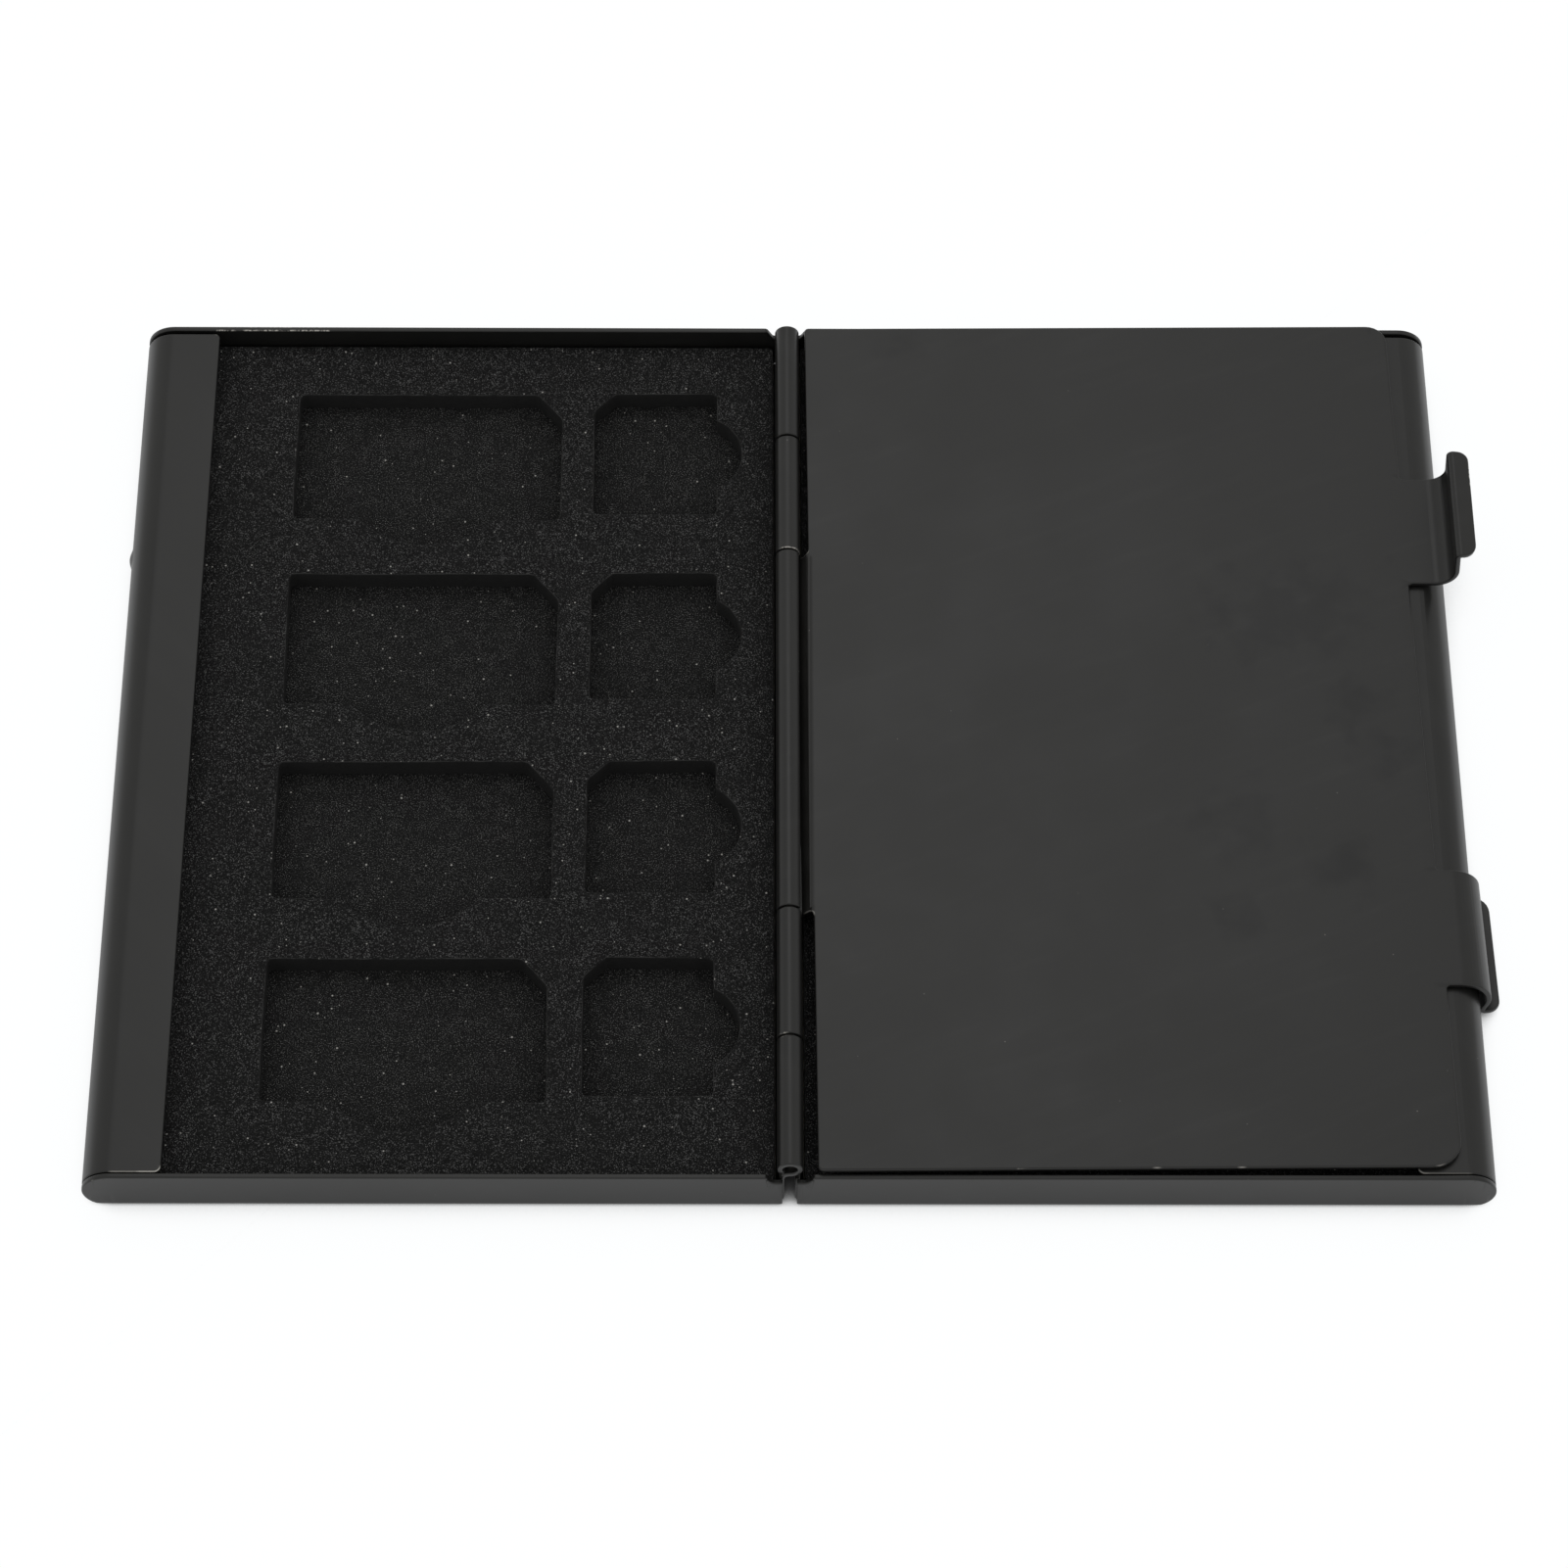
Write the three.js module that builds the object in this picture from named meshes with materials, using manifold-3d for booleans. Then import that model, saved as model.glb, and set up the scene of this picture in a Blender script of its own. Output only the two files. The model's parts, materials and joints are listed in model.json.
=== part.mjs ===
// Sim card case: two folded sheet trays and a divider leaf on one hinge pin, lying open and flat.
// Millimetres, +Z up. X runs across the case, Y along the hinge, and Z = 0 is the table.
// The trays are drawn about the hinge axis at X = 0, and the whole group is then centred.

import * as THREE from 'three';
import { mergeVertices } from 'three/addons/utils/BufferGeometryUtils.js';
import Module from 'manifold-3d';

const wasm = await Module();
wasm.setup();

// Trays
const caseLength = 93; // outside, along the hinge
const halfWidth = 61.9; // hinge axis to the rounded outer edge
const shellHeight = 5.35; // table to rim
const sheet = 0.5; // thickness of all folded sheet
const flangeWidth = 7.1; // outer edge to the flange's inner edge
const curlGapBack = 0.4; // end of the rounded edge to the back end wall
const curlGapFront = 0.1; // end of the rounded edge to the front end wall
const hingeWallOffset = 0.45; // hinge axis to the outer face of the hinge wall
const wallBend = 0.8; // outside radius where the floor turns up into a wall
const endWallInset = 0.18; // hinge wall's outer face to the end wall's hinge edge
const endWallChamfer = 0.5; // lower hinge corner of an end wall
const notchDepth = 1.0; // relief in the end wall's rim beside the hinge
const notchGap = 0.85; // knuckle to the far side of that relief
const notchRound = 0.9; // its inner corner radius

// Hinge
const rimClearance = 0.15; // rim to the leaf that lies on it
const knuckleRadius = 1.15; // outside of the rolled knuckles
const pinClearance = 0.05; // radial, pin to knuckle
const pinRecess = 0.8; // knuckle end to pin end
const frontKnuckle = 13.05; // left tray's knuckle at the front
const backKnuckle = 13.45; // left tray's knuckle at the back
const innerKnuckle = 13; // right tray's two knuckles; the leaf's knuckle fills the middle
const knuckleGap = 0.2; // between neighbouring knuckles
const barrelInsetFront = 0.6; // front of the case to the first knuckle
const barrelInsetBack = 0.9; // last knuckle to the back of the case
const trayRoll = 310; // degrees that a tray's knuckle is rolled
const leafRoll = 250; // degrees that the leaf's knuckle is rolled

// Divider leaf
const leafInsetFront = 0.57; // front of the case to the middle of the leaf's front edge
const leafInsetBack = 0.31; // middle of the leaf's back edge to the back of the case
const leafGap = 0.92; // knuckle to the leaf's near edge
const leafFarInset = 3.58; // leaf's far edge to the rounded edge of the tray
const leafSkew = 0.38; // the leaf sits a little turned: how far its long edges drift sideways at each end
const leafNearCorner = 0.5; // corner radius beside the hinge
const leafFarCorner = 1.9; // corner radius on the tab side

// Spring tabs and detents
const tabLength = 12; // along the hinge
const tabClearance = 0.33; // narrowest place of a tab to the rounded edge
const upTabPlace = 22.2; // middle of the tab that bends up, along the hinge
const upTabBend = 1.4; // its inside bend radius at the root
const upTabTurn = 90; // degrees of that bend
const upTabStraight = 2.6; // straight stretch past the bend
const upLipTurn = 98; // degrees that its lip turns out
const upLipLength = 1.2; // straight lip
const downTabPlace = -21.25; // middle of the tab that bends down
const downTabBend = 2.43; // the same sizes for that tab, which closes in under the rounded edge
const downTabTurn = 105;
const downTabStraight = 0.85;
const downLipTurn = 115;
const downLipLength = 1.0;
const lipBend = 0.32; // mid-sheet radius where a lip turns out
const lipCorner = 1.0; // corner radius of a lip
const bumpInset = 1.5; // middle of a tab to its detent, towards the middle of the case
const bumpRise = 0.25; // detent above the rounded edge
const bumpRoot = 0.35; // detent's depth inside the sheet
const bumpLength = 2.5; // detent at its root, along the hinge
const bumpWidth = 2.0; // detent at its root, round the edge

// Foam
const pocketDepth = 2.1; // thickness of the die-cut layer
const baseDepth = 0.59; // thickness of the plain layer under it
const adhesive = 0.1; // double-sided sheet under the foam
const foamSideGap = 0.3; // foam to the tray walls
const layerGap = 0.02; // between stacked layers
const rowMargin = 5; // least foam in front of and behind the pockets
const rowWeb = 3.9; // foam between rows of pockets
const columnWeb = 3.26; // foam between columns of pockets
const flangeMargin = 7.96; // flange edge to the first column
const hingeMargin = 4; // least foam between the last column and the hinge wall
const rowShift = -0.3; // middle of the rows, along the hinge

// Card pockets: size across and along the hinge, cut corner, and thumb notch
const miniPocket = { across: 25.2, along: 14.5, cutAcross: 2.4, cutAlong: 2.9, chord: 11.6, sag: 2.6 };
const microPocket = { across: 11.6, along: 14, cutAcross: 2, cutAlong: 2, chord: 7.8, sag: 2.4 };
const nanoPocket = { across: 12.7, along: 9.2, cutAcross: 1.5, cutAlong: 1.5, chord: 6, sag: 1.8 };
const microRaise = 0.4; // middle of a micro pocket behind the middle of its mini pocket

const bendStep = 10; // degrees between points on a bend
const roundSides = 24; // flats round the pin and the detents
const embed = 0.3; // overlap of stretches that are one sheet, and how far a cutter passes a face

// Values that follow from the sizes above
const hingeHeight = shellHeight + rimClearance + sheet / 2;
const rollRadius = knuckleRadius - sheet / 2;
const edgeRadius = shellHeight / 2;
const edgeCentre = halfWidth - edgeRadius;
const hingeWallMid = hingeWallOffset + sheet / 2;
const hingeWallTop = hingeHeight - rollRadius - hingeWallMid;
const insideLength = caseLength - 2 * sheet;
const barrelFront = barrelInsetFront - caseLength / 2;
const barrelBack = caseLength / 2 - barrelInsetBack;
const notchReach = knuckleRadius + notchGap;
const leafNear = knuckleRadius + leafGap;
const leafFar = halfWidth - leafFarInset;
const dipStart = leafNear + leafSkew;

const blackSheet = { color: 0x393938, roughness: 0.42, metalness: 0.6 };
const blackFoam = { color: 0x1b1b1b, roughness: 1, metalness: 0 };
const clearAdhesive = { color: 0x6b6657, roughness: 0.6, metalness: 0 };
const pinSteel = { color: 0x8b8b88, roughness: 0.35, metalness: 1 };

// Solids for joining and cutting
function toSolid(geometry) {
  geometry.deleteAttribute('normal');
  geometry.deleteAttribute('uv');
  const merged = mergeVertices(geometry, 1e-5);
  return new wasm.Manifold(new wasm.Mesh({
    numProp: 3,
    vertProperties: new Float32Array(merged.attributes.position.array),
    triVerts: new Uint32Array(merged.index.array),
  }));
}

function toGeometry(solid) {
  const mesh = solid.getMesh();
  const geometry = new THREE.BufferGeometry();
  geometry.setAttribute('position', new THREE.BufferAttribute(mesh.vertProperties, 3));
  geometry.setIndex(new THREE.BufferAttribute(mesh.triVerts, 1));
  geometry.computeVertexNormals();
  return geometry;
}

function join(solids) {
  return solids.reduce((whole, piece) => whole.add(piece));
}

function namedMesh(name, geometry, look) {
  const mesh = new THREE.Mesh(geometry, new THREE.MeshStandardMaterial(look));
  mesh.name = name;
  return mesh;
}

// A sheet seen from its end: straight stretches and bends along its middle, in X and Z.
// Bends turn left for positive degrees.
class SheetPath {
  constructor(x, z, heading) {
    this.x = x;
    this.z = z;
    this.heading = heading;
    this.points = [];
    this.mark();
  }

  mark() {
    const turn = THREE.MathUtils.degToRad(this.heading);
    this.points.push({ x: this.x, z: this.z, acrossX: -Math.sin(turn), acrossZ: Math.cos(turn) });
  }

  straight(length) {
    const turn = THREE.MathUtils.degToRad(this.heading);
    this.x += length * Math.cos(turn);
    this.z += length * Math.sin(turn);
    this.mark();
    return this;
  }

  bend(radius, degrees) {
    const steps = Math.ceil(Math.abs(degrees) / bendStep);
    const side = Math.sign(degrees);
    const start = THREE.MathUtils.degToRad(this.heading);
    const centreX = this.x - side * radius * Math.sin(start);
    const centreZ = this.z + side * radius * Math.cos(start);
    const first = this.heading;
    for (let i = 1; i <= steps; i += 1) {
      this.heading = first + degrees * i / steps;
      const turn = THREE.MathUtils.degToRad(this.heading);
      this.x = centreX + side * radius * Math.sin(turn);
      this.z = centreZ - side * radius * Math.cos(turn);
      this.mark();
    }
    return this;
  }

  outline(side) {
    const face = (offset) => this.points.map((p) => new THREE.Vector2(
      side * (p.x + offset * p.acrossX),
      p.z + offset * p.acrossZ,
    ));
    return [...face(sheet / 2), ...face(-sheet / 2).reverse()];
  }
}

// Extrusions along the hinge (shape in X and Z), across it (shape in Y and Z) and upwards (shape in X and Y)
function alongHinge(points, front, back) {
  const shape = new THREE.Shape(points);
  const geometry = new THREE.ExtrudeGeometry(shape, { depth: back - front, bevelEnabled: false });
  geometry.rotateX(Math.PI / 2);
  geometry.translate(0, back, 0);
  return geometry;
}

function acrossHinge(points, from, to) {
  const shape = new THREE.Shape(points);
  const geometry = new THREE.ExtrudeGeometry(shape, { depth: to - from, bevelEnabled: false });
  geometry.applyMatrix4(new THREE.Matrix4().set(0, 0, 1, from, 1, 0, 0, 0, 0, 1, 0, 0, 0, 0, 0, 1));
  return geometry;
}

function upwards(shape, bottom, top) {
  const geometry = new THREE.ExtrudeGeometry(shape, { depth: top - bottom, bevelEnabled: false });
  geometry.translate(0, 0, bottom);
  return geometry;
}

function arcPoints(centreX, centreY, radius, from, to) {
  const steps = Math.max(2, Math.ceil(Math.abs(to - from) / bendStep));
  return Array.from({ length: steps + 1 }, (_, i) => {
    const angle = THREE.MathUtils.degToRad(from + (to - from) * i / steps);
    return new THREE.Vector2(centreX + radius * Math.cos(angle), centreY + radius * Math.sin(angle));
  });
}

// Where the five knuckles start and end along the hinge
const knuckleEnds = [
  barrelFront,
  barrelFront + frontKnuckle,
  barrelFront + frontKnuckle + innerKnuckle,
  barrelBack - backKnuckle - innerKnuckle,
  barrelBack - backKnuckle,
  barrelBack,
];

function knuckleSpan(place) {
  const front = knuckleEnds[place] + (place > 0 ? knuckleGap / 2 : 0);
  const back = knuckleEnds[place + 1] - (place < 4 ? knuckleGap / 2 : 0);
  return [front, back];
}

// One tray: side is 1 for the right tray and -1 for the left
function tray(side, ownKnuckles, bumpY) {
  const inside = insideLength / 2;
  const outside = caseLength / 2;
  const curl = new SheetPath(halfWidth - flangeWidth, shellHeight - sheet / 2, 0)
    .straight(flangeWidth - edgeRadius)
    .bend(edgeRadius - sheet / 2, -180)
    .straight(embed);
  const floor = new SheetPath(edgeCentre, sheet / 2, 180)
    .straight(edgeCentre - hingeWallOffset - wallBend)
    .bend(wallBend - sheet / 2, -90)
    .straight(hingeWallTop - wallBend);
  const pieces = [
    toSolid(alongHinge(curl.outline(side), curlGapFront - inside, inside - curlGapBack)),
    toSolid(alongHinge(floor.outline(side), -inside, inside)),
    toSolid(alongHinge(endWall(side), -outside, -inside)),
    toSolid(alongHinge(endWall(side), inside, outside)),
    detent(side, bumpY),
  ];
  for (const place of ownKnuckles) {
    const roll = new SheetPath(hingeWallMid, hingeWallTop - embed, 90)
      .straight(embed)
      .bend(hingeWallMid, 90)
      .bend(rollRadius, -trayRoll);
    pieces.push(toSolid(alongHinge(roll.outline(side), ...knuckleSpan(place))));
  }
  return toGeometry(join(pieces).intersect(foldEnvelope()));
}

// What the folds leave of a tray, seen from the side: both end walls turn up from the floor in a bend
function foldEnvelope() {
  const reach = halfWidth + knuckleRadius;
  const end = caseLength / 2;
  const top = hingeHeight + 2 * knuckleRadius;
  return toSolid(acrossHinge([
    ...arcPoints(wallBend - end, wallBend, wallBend, 180, 270),
    ...arcPoints(end - wallBend, wallBend, wallBend, 270, 360),
    new THREE.Vector2(end, top),
    new THREE.Vector2(-end, top),
  ], -reach, reach));
}

// An end wall, folded up from the floor, with a round outer end and a relief beside the hinge
function endWall(side) {
  const near = hingeWallOffset + endWallInset;
  const reliefBottom = shellHeight - notchDepth;
  const points = [
    new THREE.Vector2(near, endWallChamfer),
    new THREE.Vector2(near + endWallChamfer, 0),
    ...arcPoints(edgeCentre, edgeRadius, edgeRadius, -90, 90),
    new THREE.Vector2(notchReach, shellHeight),
    ...arcPoints(notchReach - notchRound, reliefBottom + notchRound, notchRound, 0, -90),
    new THREE.Vector2(near, reliefBottom),
  ];
  return points.map((p) => new THREE.Vector2(side * p.x, p.y));
}

// A domed detent on the rounded edge, level with the middle of the edge
function detent(side, bumpY) {
  const height = bumpRise + bumpRoot;
  const dome = arcPoints(0, 0, 1, 0, 90).map((p) => new THREE.Vector2(p.x * bumpLength / 2, p.y * height));
  dome[dome.length - 1].x = 0;
  const geometry = new THREE.LatheGeometry([new THREE.Vector2(0, 0), ...dome], roundSides);
  geometry.rotateZ(-side * Math.PI / 2);
  geometry.scale(1, 1, bumpWidth / bumpLength);
  geometry.translate(side * (halfWidth - bumpRoot), bumpY, edgeRadius);
  return toSolid(geometry);
}

const upTab = {
  direction: 1, place: upTabPlace, bend: upTabBend, turn: upTabTurn, straight: upTabStraight,
  lipTurn: upLipTurn, lipLength: upLipLength,
};
const downTab = {
  direction: -1, place: downTabPlace, bend: downTabBend, turn: downTabTurn, straight: downTabStraight,
  lipTurn: downLipTurn, lipLength: downLipLength,
};

// The spring tab seen from its end
function tabPath(tab) {
  const turn = THREE.MathUtils.degToRad(tab.turn);
  const rootEnd = halfWidth + tabClearance - tab.bend * Math.sin(turn) - tab.straight * Math.cos(turn);
  const start = leafFar - leafSkew - embed;
  return new SheetPath(start, hingeHeight, 0)
    .straight(rootEnd - start)
    .bend(tab.bend + sheet / 2, tab.direction * tab.turn)
    .straight(tab.straight)
    .bend(lipBend, -tab.direction * tab.lipTurn)
    .straight(tab.lipLength);
}

function tabReach(tab) {
  return Math.max(...tabPath(tab).outline(1).map((p) => p.x));
}

const lipReach = Math.max(tabReach(upTab), tabReach(downTab));

function springTab(tab) {
  const front = tab.place - tabLength / 2;
  const back = tab.place + tabLength / 2;
  const start = leafFar - leafSkew - embed;
  const reach = tabReach(tab);
  const plan = new THREE.Shape([
    new THREE.Vector2(start, back),
    new THREE.Vector2(start, front),
    ...arcPoints(reach - lipCorner, front + lipCorner, lipCorner, -90, 0),
    ...arcPoints(reach - lipCorner, back - lipCorner, lipCorner, 0, 90),
  ]);
  const strip = toSolid(alongHinge(tabPath(tab).outline(1), front, back));
  return strip.intersect(toSolid(upwards(plan, 0, 2 * hingeHeight)));
}

// The divider leaf: a flat sheet, its rolled knuckle under a dip, and two spring tabs
function dividerLeaf() {
  const front = leafInsetFront - caseLength / 2;
  const back = caseLength / 2 - leafInsetBack;
  const [rollFront, rollBack] = knuckleSpan(2);
  const endSkew = leafSkew * (leafFar - leafNear) / (back - front);
  const near = leafNear + leafNearCorner;
  const far = leafFar - leafFarCorner;
  const plan = new THREE.Shape([
    ...arcPoints(near + leafSkew, front - endSkew + leafNearCorner, leafNearCorner, 180, 270),
    ...arcPoints(far + leafSkew, front + endSkew + leafFarCorner, leafFarCorner, 270, 360),
    ...arcPoints(far - leafSkew, back + endSkew - leafFarCorner, leafFarCorner, 0, 90),
    ...arcPoints(near - leafSkew, back - endSkew - leafNearCorner, leafNearCorner, 90, 180),
  ]);
  const mouth = new THREE.Shape([
    new THREE.Vector2(0, rollFront),
    new THREE.Vector2(dipStart, rollFront),
    new THREE.Vector2(dipStart, rollBack),
    new THREE.Vector2(0, rollBack),
  ]);
  const flat = toSolid(upwards(plan, hingeHeight - sheet / 2, hingeHeight + sheet / 2));
  const cut = toSolid(upwards(mouth, hingeHeight - sheet, hingeHeight + sheet));
  const dipTurn = THREE.MathUtils.radToDeg(2 * Math.atan(rollRadius / dipStart));
  const dipRadius = dipStart / (2 * Math.sin(THREE.MathUtils.degToRad(dipTurn)));
  const roll = new SheetPath(dipStart + embed, hingeHeight, 180)
    .straight(embed)
    .bend(dipRadius, dipTurn)
    .bend(dipRadius, -dipTurn)
    .bend(rollRadius, -leafRoll);
  return toGeometry(join([
    flat.subtract(cut),
    toSolid(alongHinge(roll.outline(1), rollFront, rollBack)),
    springTab(upTab),
    springTab(downTab),
  ]));
}

function hingePin() {
  const radius = rollRadius - sheet / 2 - pinClearance;
  const geometry = new THREE.CylinderGeometry(
    radius,
    radius,
    barrelBack - barrelFront - 2 * pinRecess,
    roundSides,
  );
  geometry.translate(0, (barrelFront + barrelBack) / 2, hingeHeight);
  return geometry;
}

// Foam: the trays' foam reaches from the hinge wall to the start of the rounded edge
const adhesiveBottom = sheet + layerGap;
const baseBottom = adhesiveBottom + adhesive + layerGap;
const insertBottom = baseBottom + baseDepth + layerGap;
const foamTop = insertBottom + pocketDepth;
const foamNear = hingeWallOffset + sheet + foamSideGap;
const foamFar = edgeCentre - foamSideGap;
const foamEnd = insideLength / 2 - foamSideGap;

function foamPlan(side) {
  return new THREE.Shape([
    new THREE.Vector2(side * foamNear, -foamEnd),
    new THREE.Vector2(side * foamFar, -foamEnd),
    new THREE.Vector2(side * foamFar, foamEnd),
    new THREE.Vector2(side * foamNear, foamEnd),
  ]);
}

// A thumb notch bulges out of one edge, past the middle of its chord
function notchArc({ chord, sag }, x, y, facing) {
  const radius = (chord * chord / 4 + sag * sag) / (2 * sag);
  const half = THREE.MathUtils.radToDeg(Math.asin(chord / 2 / radius));
  const turn = THREE.MathUtils.degToRad(facing);
  const centreX = x - (radius - sag) * Math.cos(turn);
  const centreY = y - (radius - sag) * Math.sin(turn);
  return arcPoints(centreX, centreY, radius, facing - half, facing + half);
}

// Pocket outlines about a middle; the corner away from the notch is cut off
function frontNotchPocket(pocket, side, x, y) {
  const halfAcross = pocket.across / 2;
  const halfAlong = pocket.along / 2;
  const inner = -side;
  return new THREE.Shape([
    new THREE.Vector2(x - halfAcross, y - halfAlong),
    ...notchArc(pocket, x, y - halfAlong, 270),
    new THREE.Vector2(x + halfAcross, y - halfAlong),
    ...(inner > 0 ? cutCorner(pocket, x, y, 1) : [new THREE.Vector2(x + halfAcross, y + halfAlong)]),
    ...(inner < 0 ? cutCorner(pocket, x, y, -1) : [new THREE.Vector2(x - halfAcross, y + halfAlong)]),
  ]);
}

function cutCorner(pocket, x, y, hand) {
  const onSide = new THREE.Vector2(x + hand * pocket.across / 2, y + pocket.along / 2 - pocket.cutAlong);
  const onBack = new THREE.Vector2(x + hand * (pocket.across / 2 - pocket.cutAcross), y + pocket.along / 2);
  return hand > 0 ? [onSide, onBack] : [onBack, onSide];
}

function hingeNotchPocket(pocket, side, x, y) {
  const halfAcross = pocket.across / 2;
  const halfAlong = pocket.along / 2;
  const facing = side < 0 ? 0 : 180;
  const notch = notchArc(pocket, x - side * halfAcross, y, facing);
  const front = [
    new THREE.Vector2(x - halfAcross, y - halfAlong),
    new THREE.Vector2(x + halfAcross, y - halfAlong),
  ];
  const hingeCorner = new THREE.Vector2(x - side * halfAcross, y + halfAlong);
  const farCut = cutCorner(pocket, x, y, side);
  const rest = side < 0 ? [...notch, hingeCorner, ...farCut] : [...farCut, hingeCorner, ...notch];
  return new THREE.Shape([...front, ...rest]);
}

// Middles of as many rows as fit along the foam, for pockets that need a given length
function rowMiddles(pocket, needed) {
  const pitch = needed + rowWeb;
  const rows = Math.floor((2 * foamEnd - 2 * rowMargin + rowWeb) / pitch);
  const first = rowShift + (rows * pitch - rowWeb) / 2 - pocket.along / 2;
  return Array.from({ length: rows }, (_, row) => first - row * pitch);
}

// The left foam: a column of mini pockets beside the flange, then columns of micro pockets
function leftPockets() {
  const rows = rowMiddles(miniPocket, miniPocket.along + miniPocket.sag);
  const flangeEdge = halfWidth - flangeWidth;
  const miniX = flangeEdge - flangeMargin - miniPocket.across / 2;
  const pockets = rows.map((y) => frontNotchPocket(miniPocket, -1, -miniX, y));
  let edge = flangeEdge - flangeMargin - miniPocket.across - columnWeb;
  while (edge - microPocket.across >= foamNear + hingeMargin) {
    const microX = edge - microPocket.across / 2;
    pockets.push(...rows.map((y) => hingeNotchPocket(microPocket, -1, -microX, y + microRaise)));
    edge -= microPocket.across + microPocket.sag + columnWeb;
  }
  return pockets;
}

// The right foam: columns of nano pockets, as many as fit
function rightPockets() {
  const rows = rowMiddles(nanoPocket, miniPocket.along + miniPocket.sag);
  const pockets = [];
  let edge = halfWidth - flangeWidth - flangeMargin;
  while (edge - nanoPocket.across >= foamNear + hingeMargin) {
    const nanoX = edge - nanoPocket.across / 2;
    pockets.push(...rows.map((y) => frontNotchPocket(nanoPocket, 1, nanoX, y)));
    edge -= nanoPocket.across + columnWeb;
  }
  return pockets;
}

function foamInsert(side, pockets) {
  const layer = toSolid(upwards(foamPlan(side), insertBottom, foamTop));
  const windows = pockets.map((plan) => toSolid(upwards(plan, insertBottom - embed, foamTop + embed)));
  return toGeometry(windows.reduce((foam, window) => foam.subtract(window), layer));
}

function foamBase(side) {
  return upwards(foamPlan(side), baseBottom, baseBottom + baseDepth);
}

function adhesiveSheet(side) {
  return upwards(foamPlan(side), adhesiveBottom, adhesiveBottom + adhesive);
}

// The assembly, centred over its own box
const simCardCase = new THREE.Group();
simCardCase.add(
  namedMesh('right_shell', tray(1, [1, 3], downTabPlace + bumpInset), blackSheet),
  namedMesh('left_shell', tray(-1, [0, 4], upTabPlace - bumpInset), blackSheet),
  namedMesh('divider_plate', dividerLeaf(), blackSheet),
  namedMesh('hinge_pin', hingePin(), pinSteel),
  namedMesh('left_foam_insert', foamInsert(-1, leftPockets()), blackFoam),
  namedMesh('left_foam_base', foamBase(-1), blackFoam),
  namedMesh('left_adhesive', adhesiveSheet(-1), clearAdhesive),
  namedMesh('right_foam_insert', foamInsert(1, rightPockets()), blackFoam),
  namedMesh('right_foam_base', foamBase(1), blackFoam),
  namedMesh('right_adhesive', adhesiveSheet(1), clearAdhesive),
);
simCardCase.position.x = (halfWidth + bumpRise - lipReach) / 2;

export default simCardCase;
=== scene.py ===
import bmesh
import bpy
import json
import math
import random
from mathutils import Matrix, Vector, geometry, kdtree, noise


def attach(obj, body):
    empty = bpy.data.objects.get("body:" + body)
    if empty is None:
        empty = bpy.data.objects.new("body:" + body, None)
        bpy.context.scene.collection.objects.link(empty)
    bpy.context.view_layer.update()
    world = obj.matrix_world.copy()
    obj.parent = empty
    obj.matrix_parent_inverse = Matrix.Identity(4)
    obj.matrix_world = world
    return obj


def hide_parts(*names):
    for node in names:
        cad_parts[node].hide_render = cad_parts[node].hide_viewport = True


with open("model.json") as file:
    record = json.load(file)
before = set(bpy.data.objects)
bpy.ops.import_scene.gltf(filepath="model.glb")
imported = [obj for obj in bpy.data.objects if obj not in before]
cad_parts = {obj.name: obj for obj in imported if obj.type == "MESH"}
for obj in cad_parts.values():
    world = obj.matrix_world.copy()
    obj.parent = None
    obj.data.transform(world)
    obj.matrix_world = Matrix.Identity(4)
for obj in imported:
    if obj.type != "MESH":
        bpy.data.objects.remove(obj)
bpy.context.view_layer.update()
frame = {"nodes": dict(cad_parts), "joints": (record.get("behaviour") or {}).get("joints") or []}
scene = bpy.context.scene
scene.view_settings.view_transform = "Standard"

mm = 0.001  # the sizes below are in millimetres
pinX, pinY, pinZ = [v / mm for v in frame["joints"][0]["pos_m"]]  # middle of the hinge pin
print("frame loaded, hinge pin at", round(pinX, 3), round(pinZ, 3), "mm")


# camera
view = {
    "lens": 115.857,
    "elevation": 57.62,
    "turn": 0.926,
    "roll": -0.900,
    "target": (-0.361, -2.420, 0.0),  # from the hinge pin, on the table
    "distance": 467.27,
}


def placeCamera(v):
    lift = math.radians(v["elevation"])
    level = Matrix((
        (1, 0, 0),
        (0, math.sin(lift), math.cos(lift)),
        (0, math.cos(lift), -math.sin(lift)),
    ))
    roll = Matrix.Rotation(math.radians(v["roll"]), 3, "Z")
    turn = Matrix.Rotation(math.radians(v["turn"]), 3, "Z")
    right, up, ahead = roll @ level @ turn
    target = Vector(v["target"]) + Vector((pinX, 0, 0))
    place = (target - ahead * v["distance"]) * mm
    data = bpy.data.cameras.new("photoCamera")
    data.lens = v["lens"]
    data.sensor_width = 36
    data.clip_start = 0.01
    camera = bpy.data.objects.new("photoCamera", data)
    axes = Matrix((right, up, -ahead)).transposed().to_4x4()
    camera.matrix_world = Matrix.Translation(place) @ axes
    scene.collection.objects.link(camera)
    scene.camera = camera


placeCamera(view)
print("camera placed")


# shader helpers
def feed(tree, value, socket):
    if isinstance(value, bpy.types.NodeSocket):
        tree.links.new(value, socket)
    else:
        socket.default_value = value


def addNode(tree, kind, inputs=None, **settings):
    node = tree.nodes.new("ShaderNode" + kind)
    for name, value in settings.items():
        setattr(node, name, value)
    for name, value in (inputs or {}).items():
        feed(tree, value, node.inputs[name])
    return node


def maths(tree, operation, a, b=0.0):
    return addNode(tree, "Math", {0: a, 1: b}, operation=operation).outputs[0]


def between(tree, value, low, high):  # 0 at low, 1 at high, with soft ends
    inputs = {"Value": value, "From Min": low, "From Max": high}
    return addNode(tree, "MapRange", inputs, interpolation_type="SMOOTHSTEP").outputs["Result"]


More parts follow.
